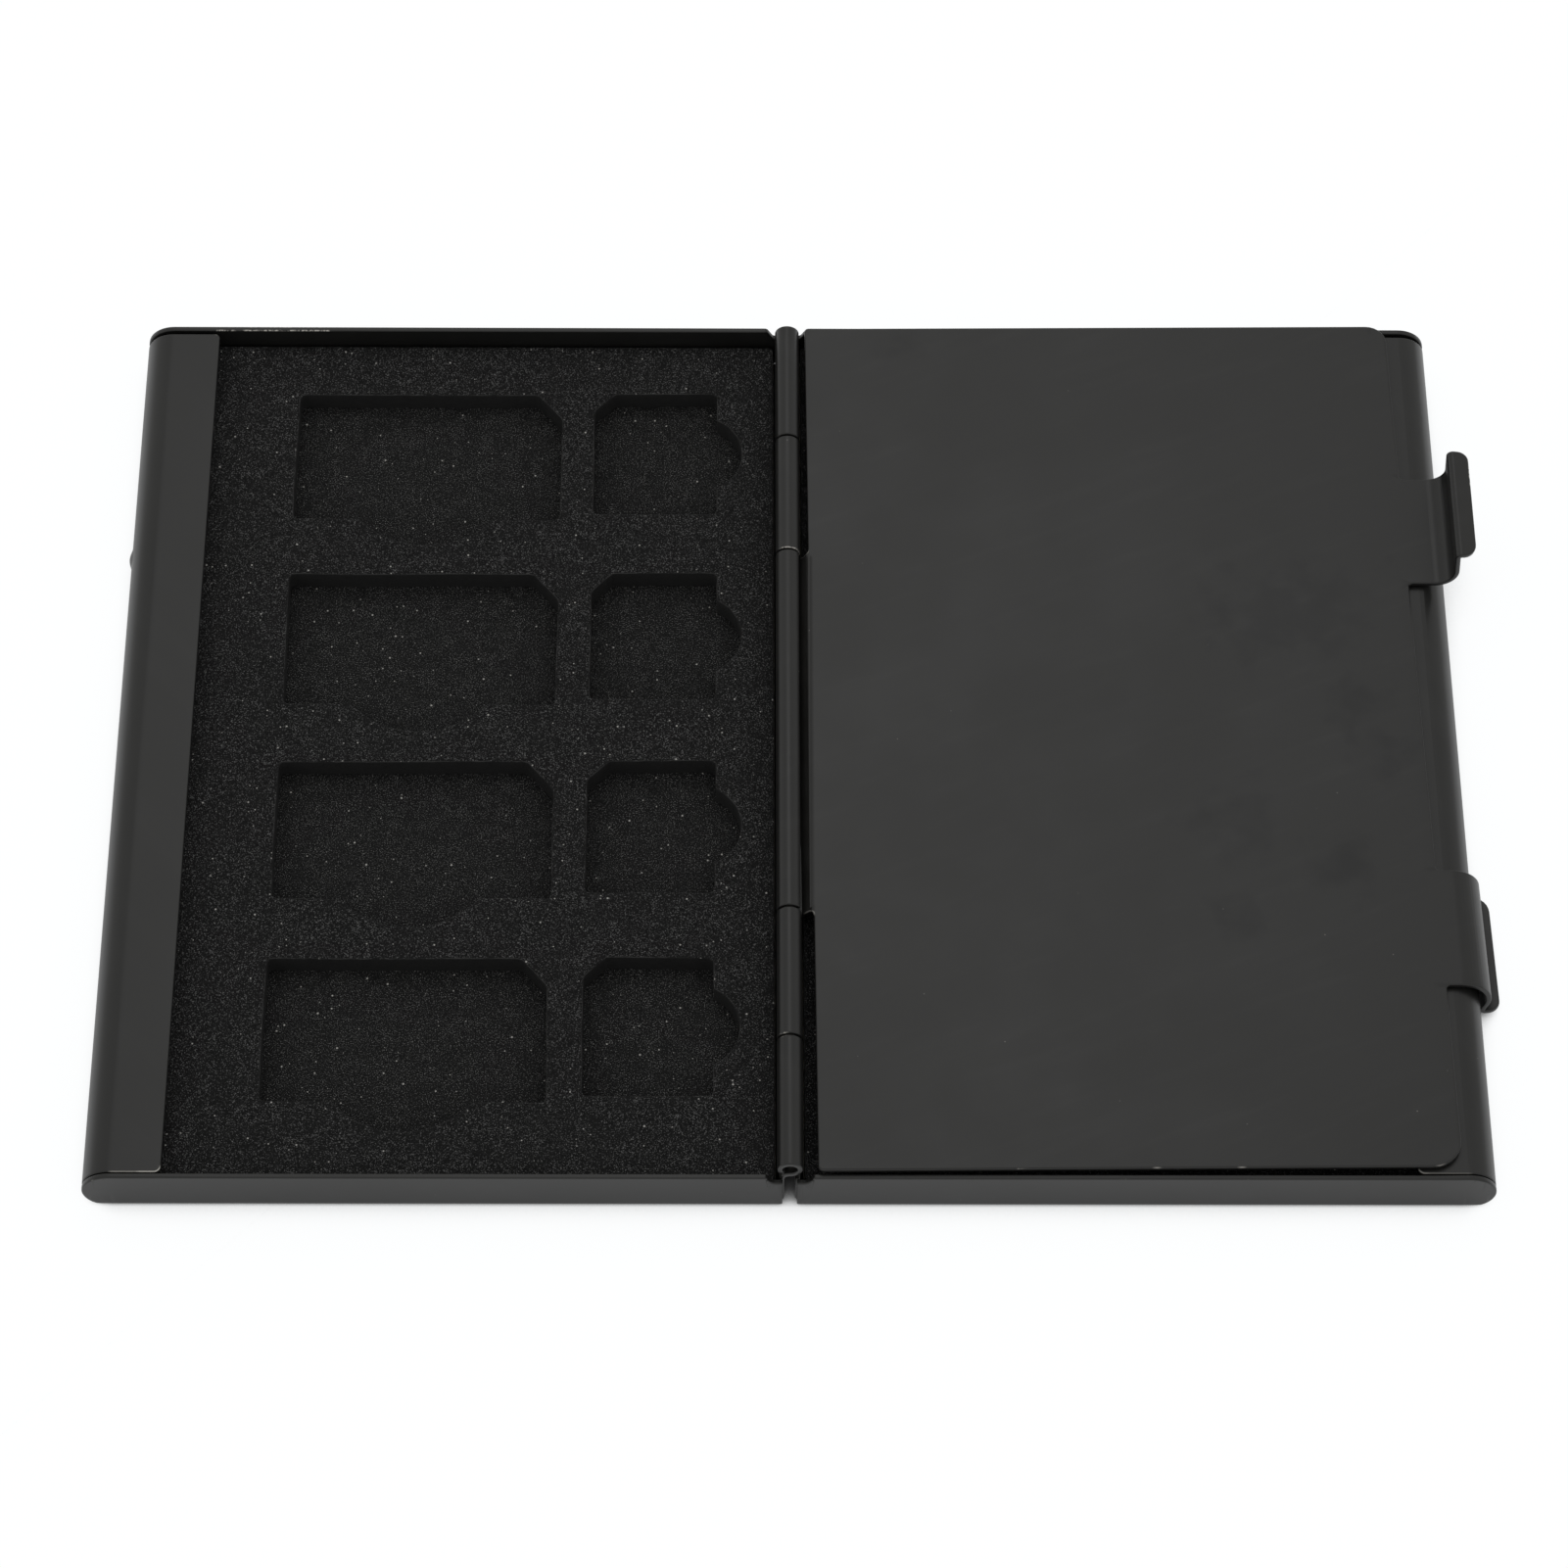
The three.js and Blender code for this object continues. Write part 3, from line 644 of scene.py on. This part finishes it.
def makeTray(name, side, knuckles, bumpY, wear):
    t = tray
    half = t["sheet"] / 2
    radius = t["height"] / 2
    centre = t["halfWidth"] - radius
    wallMid = t["hingeWall"] + half
    wallTop = pinZ - rollRadius - wallMid
    line = FoldLine(t["halfWidth"] - t["flange"], t["height"] - half, 0)
    line.run(t["flange"] - radius).bend(radius - half, -180)
    line.run(centre - t["hingeWall"] - t["foot"]).bend(t["foot"] - half, -90)
    line.run(wallTop - t["foot"]).bend(wallMid, 90).bend(rollRadius, -t["roll"])
    curlStart, curlEnd, floorEnd, wallEnd = [line.moves[i][0] for i in (1, 2, 3, 5)]
    flapStart = t["length"] / 2 - t["foot"]
    flapLine = FoldLine(flapStart, half, 0).bend(t["foot"] - half, 90).run(t["height"])
    wallSide = -hinge["ends"][0]

    def flapReach(z):  # how far out on the blank a height on the end wall lies
        if z < t["foot"]:
            return flapStart + (t["foot"] - half) * math.acos(1 - z / t["foot"])
        return flapStart + flapLine.moves[1][0] + z - t["foot"]

    def heightAt(reach):
        return t["foot"] * (1 - math.cos((reach - flapStart) / (t["foot"] - half)))

    def endFlap(curlSide, relief):  # from the rounded edge's slit round to the hinge wall's slit
        start = max(curlSide + t["slit"], flapStart + t["leastSlit"])
        stop = wallSide + t["slit"] / 2
        low = math.asin(heightAt(start) / radius - 1)
        points = [(curlEnd, curlSide, 0), (curlEnd, start, 0)]
        outer = [low + (math.pi / 2 - low) * i / t["endSteps"] for i in range(t["endSteps"] + 1)]
        shape = [(centre + radius * math.cos(a), radius + radius * math.sin(a)) for a in outer]
        shape = [(x, z, 0) for x, z in shape] + list(relief) + [(t["wallNear"], t["wallChamfer"], 0)]
        points += [(curlEnd + centre - x, flapReach(z), r) for x, z, r in shape]
        return points + [(floorEnd, stop, 0), (floorEnd, wallSide, 0)]

    corners = [(0, -t["curlFront"], t["flangeCornerFront"])]
    corners += [(s, -y, r) for s, y, r in endFlap(t["curlFront"], t["frontRelief"])]
    corners.append((wallEnd, -wallSide, 0))
    for place in knuckles:
        front, back = knuckleSpan(place)
        if place > 0:  # the front knuckle is flush with the wall
            corners.append((wallEnd, front, t["rollRoot"]))
        corners.append((line.length, front, t["rollCorner"]))
        corners.append((line.length, back, t["rollCorner"]))
        corners.append((wallEnd, back, t["rollRoot"]))
    corners.append((wallEnd, wallSide, 0))
    corners += [(s, y, r) for s, y, r in reversed(endFlap(t["curlBack"], t["backRelief"]))]
    corners.append((0, t["curlBack"], t["flangeCornerBack"]))

    blank = cutBlank(roundCorners(corners), t["sheet"], t["edge"])
    bumpS = (curlStart + curlEnd) / 2
    cutAcross(blank, 0, line.stops(bendStep))
    for end in (-1, 1):
        cutAcross(blank, 1, [end * (flapStart + mark) for mark in flapLine.stops(footStep)])
    bumpMarks = [i / t["bumpSteps"] - 0.5 for i in range(t["bumpSteps"] + 1)]
    cutAcross(blank, 0, [bumpS + t["bumpWidth"] * mark for mark in bumpMarks])
    cutAcross(blank, 1, [bumpY + t["bumpLength"] * mark for mark in bumpMarks])
    for kind, near, far, front, back, strength in wear:
        cutAcross(blank, 0, [curlEnd + centre - mark for mark in fadeMarks(near, far)])
        cutAcross(blank, 0, [mark - t["halfWidth"] + t["flange"] for mark in fadeMarks(near, far)])
        cutAcross(blank, 1, fadeMarks(front, back))

    def fold(s, y, lift):
        depth = abs(y)
        curlSide = t["curlFront"] if y < 0 else t["curlBack"]
        split = flapStart
        if s < curlEnd - weldSlack:
            split = (curlSide + max(curlSide + t["slit"], flapStart)) / 2
        if s > floorEnd + weldSlack:
            split = wallSide + t["slit"] / 4
        if depth > split:
            out, z = flapLine.at(depth - flapStart, -lift)
            return centre + curlEnd - s, math.copysign(out, y), z
        away = ((y - bumpY) * 2 / t["bumpLength"]) ** 2 + ((s - bumpS) * 2 / t["bumpWidth"]) ** 2
        if away < 1:
            lift += t["bumpRise"] * (1 - away) ** 1.5
        x, z = line.at(s, lift)
        return x, y, z

    return foldPiece(name, blank, fold, side, wear, traySheet)


rightTray = makeTray("rightTray", 1, (1, 3), -19.75, tray["wearRight"])
leftTray = makeTray("leftTray", -1, (0, 4), 20.7, tray["wearLeft"])
print("trays folded:", len(rightTray.data.polygons), len(leftTray.data.polygons), "faces")


leaf = {
    "front": -45.74, "back": 46.19, "near": 2.07, "far": 58.32, "sheet": 0.5,
    "skew": 0.38,  # it sits a little turned: how far its long edges drift at each end
    "nearCorner": 0.5, "farCornerFront": 2.6, "farCornerBack": 1.9, "edge": 0.13,
    "roll": 250, "notchRound": 0.42, "rollCorner": 0.2,
    "dipRoom": 0.12, "dipBend": 0.3, "dipTurn": 43, "dipStep": 0.07,  # step down to the barrel
    "tabLength": 12.0, "tabRoot": 0.35, "lipBend": 0.32,
    "wear": (
        ("polished", 31.9, 32.0, -46.2, -45.2, 0.5), ("polished", 39.3, 39.4, -46.2, -45.2, 0.5),
        ("polished", 56.6, 56.8, -46.2, -44.5, 0.3), ("worn", 19.8, 21.0, -46.2, -45.2, 0.5),
        ("worn", 60.5, 64.5, 21.0, 28.4, 0.5), ("polished", 1.5, 2.0, 19.3, 19.5, 0.6),
        ("polished", 1.7, 2.2, -19.8, -19.6, 0.6)),
}

upTab = {
    "way": 1, "place": 22.2, "throat": 62.08, "bend": 1.9, "turn": 94, "straight": 2.18,
    "lipTurn": 102, "lipLength": 1.35, "frontCorner": 1.4, "backCorner": 1.0, "skew": 0.0,
}
downTab = {
    "way": -1, "place": -21.25, "throat": 61.95, "bend": 2.68, "turn": 106, "straight": 0.9,
    "lipTurn": 115, "lipLength": 1.3, "frontCorner": 1.1, "backCorner": 1.7,
    "skew": 0.02,  # it is bent a little askew
}


def makeLeaf(name):
    f = leaf
    middle = (f["front"] + f["back"]) / 2
    dipStart = f["near"] + f["dipRoom"]
    dipTurn = math.radians(f["dipTurn"])
    dipSlope = (rollRadius - 2 * f["dipBend"] * (1 - math.cos(dipTurn))) / math.sin(dipTurn)
    rollLine = FoldLine(dipStart, pinZ, 180).bend(f["dipBend"], f["dipTurn"]).run(dipSlope)
    rollLine.bend(f["dipBend"], -f["dipTurn"])
    rollLine.run(rollLine.x).bend(rollRadius, -f["roll"])
    underStart, underEnd = rollLine.moves[3][0], rollLine.moves[4][0]
    rollFront, rollBack = knuckleSpan(2)

    def tabLine(tab):
        turn = math.radians(tab["turn"])
        inside = tab["bend"] - f["sheet"] / 2
        start = tab["throat"] - inside * math.sin(turn) - tab["straight"] * math.cos(turn)
        made = FoldLine(start, pinZ, 0).bend(tab["bend"], tab["way"] * tab["turn"]).run(tab["straight"])
        return start, made.bend(f["lipBend"], -tab["way"] * tab["lipTurn"]).run(tab["lipLength"])

    tabs = [(tab, *tabLine(tab)) for tab in (downTab, upTab)]

    def drift(y):
        return -f["skew"] * 2 * (y - middle) / (f["back"] - f["front"])

    endDrift = f["skew"] * (f["far"] - f["near"]) / (f["back"] - f["front"])
    rollEnd = dipStart - rollLine.length
    corners = [(f["near"] + drift(f["front"]), f["front"] - endDrift, f["nearCorner"])]
    corners.append((f["far"] + drift(f["front"]), f["front"] + endDrift, f["farCornerFront"]))
    for tab, start, line in tabs:
        front = tab["place"] - f["tabLength"] / 2
        back = tab["place"] + f["tabLength"] / 2
        corners.append((f["far"] + drift(front), front, f["tabRoot"]))
        corners.append((start + line.length, front, tab["frontCorner"]))
        corners.append((start + line.length, back, tab["backCorner"]))
        corners.append((f["far"] + drift(back), back, f["tabRoot"]))
    corners.append((f["far"] + drift(f["back"]), f["back"] + endDrift, f["farCornerBack"]))
    corners.append((f["near"] + drift(f["back"]), f["back"] - endDrift, f["nearCorner"]))
    corners.append((f["near"] + drift(rollBack), rollBack, f["notchRound"]))
    corners.append((rollEnd, rollBack, f["rollCorner"]))
    corners.append((rollEnd, rollFront, f["rollCorner"]))
    corners.append((f["near"] + drift(rollFront), rollFront, f["notchRound"]))

    blank = cutBlank(roundCorners(corners), f["sheet"], f["edge"])
    cutAcross(blank, 0, [dipStart - mark for mark in rollLine.stops(bendStep)])
    dipMarks = math.ceil((underStart + 2 * f["skew"]) / f["dipStep"])
    cutAcross(blank, 0, [dipStart + f["skew"] - f["dipStep"] * i for i in range(dipMarks)])
    for tab, start, line in tabs:
        cutAcross(blank, 0, [start + mark for mark in line.stops(bendStep)])
    for kind, near, far, front, back, strength in f["wear"]:
        cutAcross(blank, 0, fadeMarks(near, far))
        cutAcross(blank, 1, fadeMarks(front, back))

    def fold(u, y, lift):
        shift = drift(y)  # the step follows the leaf's turned edge, the roll stays on the pin
        if u < dipStart + shift and rollFront - f["notchRound"] < y < rollBack + f["notchRound"]:
            along = dipStart - u
            shift *= min(1, max(0, (underEnd - along) / (underEnd - underStart)))
            x, z = rollLine.at(along + shift, -lift)
            x += shift
        else:
            x, z = u, pinZ + lift
        for tab, start, line in tabs:
            if u > start and abs(y - tab["place"]) < f["tabLength"]:
                x, z = line.at(u - start, lift)
                x -= tab["skew"] * (y - tab["place"]) * min(1, u - start)
        return x, y, z

    return foldPiece(name, blank, fold, 1, f["wear"], leafSheet)


dividerLeaf = makeLeaf("dividerLeaf")
print("divider leaf folded:", len(dividerLeaf.data.polygons), "faces")


pin = {
    "radius": 0.6, "front": -45.1, "back": 44.8, "chamfer": 0.15,
    "dome": 0.05, "tip": 0.15, "sides": 40,
}


def makePin(name):
    p = pin
    mesh = bmesh.new()
    rub = mesh.verts.layers.float.new("rub")
    profile = [  # place along the pin, radius and rubbing
        (p["front"] - p["dome"], p["tip"], 0.0),
        (p["front"], p["radius"] - p["chamfer"], 0.6),
        (p["front"] + p["chamfer"] * 0.4, p["radius"] - p["chamfer"] * 0.35, 1.0),
        (p["front"] + p["chamfer"], p["radius"], 0.6),
        (p["front"] + 2 * p["chamfer"], p["radius"], 0.0),
    ]
    middle = p["front"] + p["back"]
    profile += [(middle - y, r, worn) for y, r, worn in reversed(profile)]
    rings = []
    for y, r, worn in profile:
        ring = []
        for k in range(p["sides"]):
            turn = 2 * math.pi * k / p["sides"]
            ring.append(mesh.verts.new((
                (pinX + r * math.cos(turn)) * mm, y * mm, (pinZ + r * math.sin(turn)) * mm)))
            ring[-1][rub] = worn
        rings.append(ring)
    for lower, upper in zip(rings, rings[1:]):
        for k in range(p["sides"]):
            mesh.faces.new((lower[k - 1], lower[k], upper[k], upper[k - 1]))
    mesh.faces.new(rings[0])
    mesh.faces.new(rings[-1][::-1])
    bmesh.ops.recalc_face_normals(mesh, faces=mesh.faces[:])
    return finishPiece(name, mesh, pinSteel)


hingePin = makePin("hingePin")
print("pin turned")


foam = {
    "near": 1.25, "far": 58.925, "end": 45.7,
    "baseBottom": 0.64, "baseTop": 1.23, "insertBottom": 1.25, "insertTop": 3.35,
    "corner": 0.4, "cutCorner": 0.4,
    "topRound": 0.16,  # rounding that the die leaves along a cut
    "spacing": 0.42, "grid": 1.0,
    "wander": 0.05, "wanderPitch": 0.9,  # how far a cut strays from its line, and how often
    "bow": 0.14, "bowPitch": 0.09,  # how far the long sides of a pocket bow
    "unevenness": 0.03, "slowPitch": 0.35, "finePitch": 1.7, "fineShare": 0.5,  # of the face
    "footRing": 0.03, "bulge": 0.02, "bulgeAt": 0.4, "roundSteps": 3,  # up a cut's side
    "scatter": (0.2, 0.8), "clear": 0.5, "notchSteps": 16,
    "rows": (32.5, 11.5, -9.5, -30.5), "miniX": -34.24, "microX": -12.58, "microRaise": 0.4,
    "nanoRows": (35.15, 14.15, -6.85, -27.85), "nanoX": (40.49, 24.53),
}
miniPocket = {"across": 25.2, "along": 14.5, "cutAcross": 2.4, "cutAlong": 2.9, "chord": 12.4, "sag": 3.0}
microPocket = {"across": 11.6, "along": 14.0, "cutAcross": 2.0, "cutAlong": 2.0, "chord": 7.8, "sag": 2.4}
nanoPocket = {"across": 12.7, "along": 9.2, "cutAcross": 1.5, "cutAlong": 1.5, "chord": 6.0, "sag": 1.8}


def thumbNotch(pocket, x, y, facing):
    radius = (pocket["chord"] ** 2 / 4 + pocket["sag"] ** 2) / (2 * pocket["sag"])
    half = math.asin(pocket["chord"] / 2 / radius)
    turn = math.radians(facing)
    centreX = x - (radius - pocket["sag"]) * math.cos(turn)
    centreY = y - (radius - pocket["sag"]) * math.sin(turn)
    steps = foam["notchSteps"]
    angles = [turn - half + 2 * half * i / steps for i in range(steps + 1)]
    return [(centreX + radius * math.cos(a), centreY + radius * math.sin(a), 0) for a in angles]


def pocketOutline(pocket, x, y, notchAt, cutAt):
    halfAcross = pocket["across"] / 2
    halfAlong = pocket["along"] / 2
    r = foam["cutCorner"]
    corners = [(x - halfAcross, y - halfAlong, r)]
    if notchAt == "front":
        corners += thumbNotch(pocket, x, y - halfAlong, 270)
    corners.append((x + halfAcross, y - halfAlong, r))
    if notchAt == "right":
        corners += thumbNotch(pocket, x + halfAcross, y, 0)
    if cutAt == "right":
        corners.append((x + halfAcross, y + halfAlong - pocket["cutAlong"], r))
        corners.append((x + halfAcross - pocket["cutAcross"], y + halfAlong, r))
    else:
        corners.append((x + halfAcross, y + halfAlong, r))
    if cutAt == "left":
        corners.append((x - halfAcross + pocket["cutAcross"], y + halfAlong, r))
        corners.append((x - halfAcross, y + halfAlong - pocket["cutAlong"], r))
    else:
        corners.append((x - halfAcross, y + halfAlong, r))
    return roundCorners(corners)[::-1]  # clockwise, so that the foam is on its left


def evenPoints(points, spacing):
    lengths = [(points[(i + 1) % len(points)] - p).length for i, p in enumerate(points)]
    count = round(sum(lengths) / spacing)
    step = sum(lengths) / count
    found = []
    along = 0.0
    for i, p in enumerate(points):
        while len(found) < count and len(found) * step < along + lengths[i]:
            share = (len(found) * step - along) / lengths[i]
            found.append(p.lerp(points[(i + 1) % len(points)], share))
        along += lengths[i]
    return found


def strayCut(points, seed, bow):
    apart = Vector((31.0, 7.0, 0.0))  # so that x and y stray on their own
    moved = []
    for p in points:
        shift = Vector((0, 0))
        for reach, pitch in ((foam["wander"], foam["wanderPitch"]), (bow, foam["bowPitch"])):
            spot = Vector((p.x * pitch, p.y * pitch, seed))
            shift += reach * Vector((noise.noise(spot), noise.noise(spot + apart)))
        moved.append(p + shift)
    return moved


def isInside(point, loop):
    inside = False
    for i, b in enumerate(loop):
        a = loop[i - 1]
        if (a.y > point.y) != (b.y > point.y):
            if point.x < a.x + (b.x - a.x) * (point.y - a.y) / (b.y - a.y):
                inside = not inside
    return inside


# triangles between the outline, the pockets and a loose grid of points
def fillFoamFace(loops, grid, rng):
    points = [p for loop in loops for p in loop]
    edges = []
    start = 0
    for loop in loops:
        edges += [(start + i, start + (i + 1) % len(loop)) for i in range(len(loop))]
        start += len(loop)
    cuts = kdtree.KDTree(len(points))
    for i, p in enumerate(points):
        cuts.insert((p.x, p.y, 0), i)
    cuts.balance()
    boxes = []
    for loop in loops:
        across = [p.x for p in loop]
        along = [p.y for p in loop]
        boxes.append((min(across), max(across), min(along), max(along)))

    def inPocket(p):
        for (left, right, front, back), loop in zip(boxes[1:], loops[1:]):
            if left < p.x < right and front < p.y < back and isInside(p, loop):
                return True
        return False

    if grid:
        left, right, front, back = boxes[0]
        for i in range(int((right - left) / grid)):
            for j in range(int((back - front) / grid)):
                across = left + (i + rng.uniform(*foam["scatter"])) * grid
                p = Vector((across, front + (j + rng.uniform(*foam["scatter"])) * grid))
                away = cuts.find((p.x, p.y, 0))[2]
                if away > foam["clear"] * foam["spacing"] and not inPocket(p):
                    points.append(p)
    made = geometry.delaunay_2d_cdt(points, edges, [], 1, 1e-6)  # 1 keeps what is inside the outline
    faces = []
    for face in made[2]:
        middle = (made[0][face[0]] + made[0][face[1]] + made[0][face[2]]) / 3
        if not inPocket(middle):
            faces.append([made[3][i][0] for i in face])
    return points, faces


def makeFoamLayer(name, side, windows, bottom, top, material, seed):
    f = foam
    rng = random.Random(seed)
    near, far = sorted((side * f["near"], side * f["far"]))
    plan = [(near, -f["end"]), (far, -f["end"]), (far, f["end"]), (near, f["end"])]
    loops = [roundCorners([(x, y, f["corner"]) for x, y in plan])] + windows
    loops = [evenPoints(loop, f["spacing"]) for loop in loops]
    loops = [strayCut(loop, seed + i, f["bow"] * (i > 0)) for i, loop in enumerate(loops)]
    levels = [(0.0, bottom + f["footRing"] * k) for k in range(3)]  # close rings keep the foot crisp
    levels += [(f["bulge"], bottom + (top - bottom) * f["bulgeAt"]), (0.0, top - f["topRound"])]
    for k in range(1, f["roundSteps"] + 1):
        angle = math.pi / (2 * f["roundSteps"]) * k
        inset = f["topRound"] * (1 - math.cos(angle))
        levels.append((inset, top - f["topRound"] * (1 - math.sin(angle))))
    mesh = bmesh.new()
    for loop in loops:
        loop[:] = insetOutline(loop, f["wander"])  # keeps the strayed cut inside its own size

    def place(p, z):
        slow = noise.noise(Vector((p.x * f["slowPitch"], p.y * f["slowPitch"], seed)))
        fine = noise.noise(Vector((p.x * f["finePitch"], p.y * f["finePitch"], z)))
        sink = f["unevenness"] * (abs(slow) + f["fineShare"] * abs(fine))
        return Vector((pinX + p.x, p.y, z - sink * (z > bottom))) * mm

    rows = []
    for inset, z in levels:
        rows.append([[mesh.verts.new(place(p, z)) for p in insetOutline(loop, inset)] for loop in loops])
    for lower, upper in zip(rows, rows[1:]):
        for a, b in zip(lower, upper):
            for i in range(len(a)):
                mesh.faces.new((a[i - 1], a[i], b[i], b[i - 1]))
    topLoops = [insetOutline(loop, levels[-1][0]) for loop in loops]
    for found, row, z, spread in ((topLoops, rows[-1], top, f["grid"]), (loops, rows[0], bottom, 0)):
        points, faces = fillFoamFace(found, spread, rng)
        verts = [v for ring in row for v in ring]
        verts += [mesh.verts.new(place(p, z)) for p in points[len(verts):]]
        for face in faces:
            mesh.faces.new([verts[i] for i in face])
    bmesh.ops.recalc_face_normals(mesh, faces=mesh.faces[:])
    return finishPiece(name, mesh, material)


leftWindows = [pocketOutline(miniPocket, foam["miniX"], y, "front", "right") for y in foam["rows"]]
microRows = [y + foam["microRaise"] for y in foam["rows"]]
leftWindows += [pocketOutline(microPocket, foam["microX"], y, "right", "left") for y in microRows]
rightWindows = [
    pocketOutline(nanoPocket, x, y, "front", "left") for x in foam["nanoX"] for y in foam["nanoRows"]]
insertSpan = (foam["insertBottom"], foam["insertTop"])
baseSpan = (foam["baseBottom"], foam["baseTop"])
leftInsert = makeFoamLayer("leftFoamInsert", -1, leftWindows, *insertSpan, insertFoam, 11)
rightInsert = makeFoamLayer("rightFoamInsert", 1, rightWindows, *insertSpan, insertFoam, 37)
leftBase = makeFoamLayer("leftFoamBase", -1, [], *baseSpan, baseFoam, 53)
rightBase = makeFoamLayer("rightFoamBase", 1, [], *baseSpan, baseFoam, 71)
print("foam cut:", len(leftInsert.data.polygons), len(rightInsert.data.polygons), "faces")


# what each piece stands for, rides on and takes its finish from
pieces = (
    (rightTray, "right_half", "right_shell", "black_sheet"),
    (leftTray, "left_half", "left_shell", "black_sheet"),
    (dividerLeaf, "divider", "divider_plate", "black_sheet"),
    (hingePin, "right_half", "hinge_pin", "pin_steel"),
    (leftInsert, "left_half", "left_foam_insert", "black_foam"),
    (rightInsert, "right_half", "right_foam_insert", "black_foam"),
    (leftBase, "left_half", "left_foam_base", "black_foam"),
    (rightBase, "right_half", "right_foam_base", "black_foam"),
)
for piece, body, node, slot in pieces:
    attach(piece, body)
    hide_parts(node)
for node in ("left_adhesive", "right_adhesive"):
    frame["nodes"][node].data.materials.clear()
    frame["nodes"][node].data.materials.append(adhesiveFilm)
print("pieces set on their bodies:", len(pieces))


# studio: white floor, soft light all round and one large lamp from behind
studio = {
    "floorSize": 8.0, "floorColour": (0.95, 0.95, 0.95), "floorTint": (0.985, 0.995, 1.0),
    "seen": 1.06, "mirrored": 1.0, "glow": 0.9,  # floor as the camera and as the sheet see it
    "shadeReach": 0.05, "shade": (0.06, 0.66),  # how open the floor is where it shows black and white
    "horizonLeft": 0.68, "horizonRight": 0.52, "overhead": 0.60, "horizonHeight": 0.4,
    "skyTint": (1.0, 1.0, 0.98),
    "lampPlace": (-0.01, 0.50, 0.86), "lampSize": 0.35, "lampPower": 0.28,
}


def makeFloor(s):
    size = s["floorSize"] / 2
    data = bpy.data.meshes.new("whiteFloor")
    corners = [(-size, -size, 0), (size, -size, 0), (size, size, 0), (-size, size, 0)]
    data.from_pydata(corners, [], [(0, 1, 2, 3)])
    floor = bpy.data.objects.new("whiteFloor", data)
    scene.collection.objects.link(floor)
    material, tree, shader = newMaterial("whitePaper")
    shader.inputs["Base Color"].default_value = (*s["floorColour"], 1)
    shader.inputs["Roughness"].default_value = 1.0
    shader.inputs["Specular IOR Level"].default_value = 0.0
    path = addNode(tree, "LightPath").outputs
    seen = maths(tree, "MAXIMUM", path["Is Camera Ray"], path["Is Glossy Ray"])
    seen = maths(tree, "MAXIMUM", seen, path["Is Transmission Ray"])
    openness = addNode(tree, "AmbientOcclusion", {"Distance": s["shadeReach"]}).outputs["AO"]
    straight = maths(tree, "MULTIPLY", between(tree, openness, *s["shade"]), s["seen"])
    mirrored = maths(tree, "MULTIPLY", openness, s["mirrored"])
    level = mixValue(tree, path["Is Camera Ray"], mirrored, straight)
    glow = addNode(tree, "Emission", {"Color": (*s["floorTint"], 1), "Strength": level})
    mix = addNode(tree, "MixShader", {
        0: maths(tree, "MULTIPLY", seen, s["glow"]), 1: shader.outputs[0], 2: glow.outputs[0]})
    feed(tree, mix.outputs[0], tree.nodes["Material Output"].inputs["Surface"])
    data.materials.append(material)


def makeSky(s):
    world = bpy.data.worlds.new("softStudio")
    scene.world = world
    world.use_nodes = True
    tree = world.node_tree
    way = addNode(tree, "TexCoord").outputs["Generated"]
    way = addNode(tree, "SeparateXYZ", {0: way}).outputs
    horizon = mixValue(tree, between(tree, way["X"], -1.0, 1.0), s["horizonLeft"], s["horizonRight"])
    level = mixValue(tree, between(tree, way["Z"], 0.0, s["horizonHeight"]), horizon, s["overhead"])
    feed(tree, level, tree.nodes["Background"].inputs["Strength"])
    tree.nodes["Background"].inputs["Color"].default_value = (*s["skyTint"], 1)


def makeLamp(s):
    data = bpy.data.lights.new("softLamp", "AREA")
    data.size = s["lampSize"]
    data.energy = s["lampPower"]
    lamp = bpy.data.objects.new("softLamp", data)
    place = Vector(s["lampPlace"])
    lamp.location = place
    lamp.rotation_euler = (-place).to_track_quat("-Z", "Y").to_euler()
    scene.collection.objects.link(lamp)


makeFloor(studio)
makeSky(studio)
makeLamp(studio)
print("studio lit")
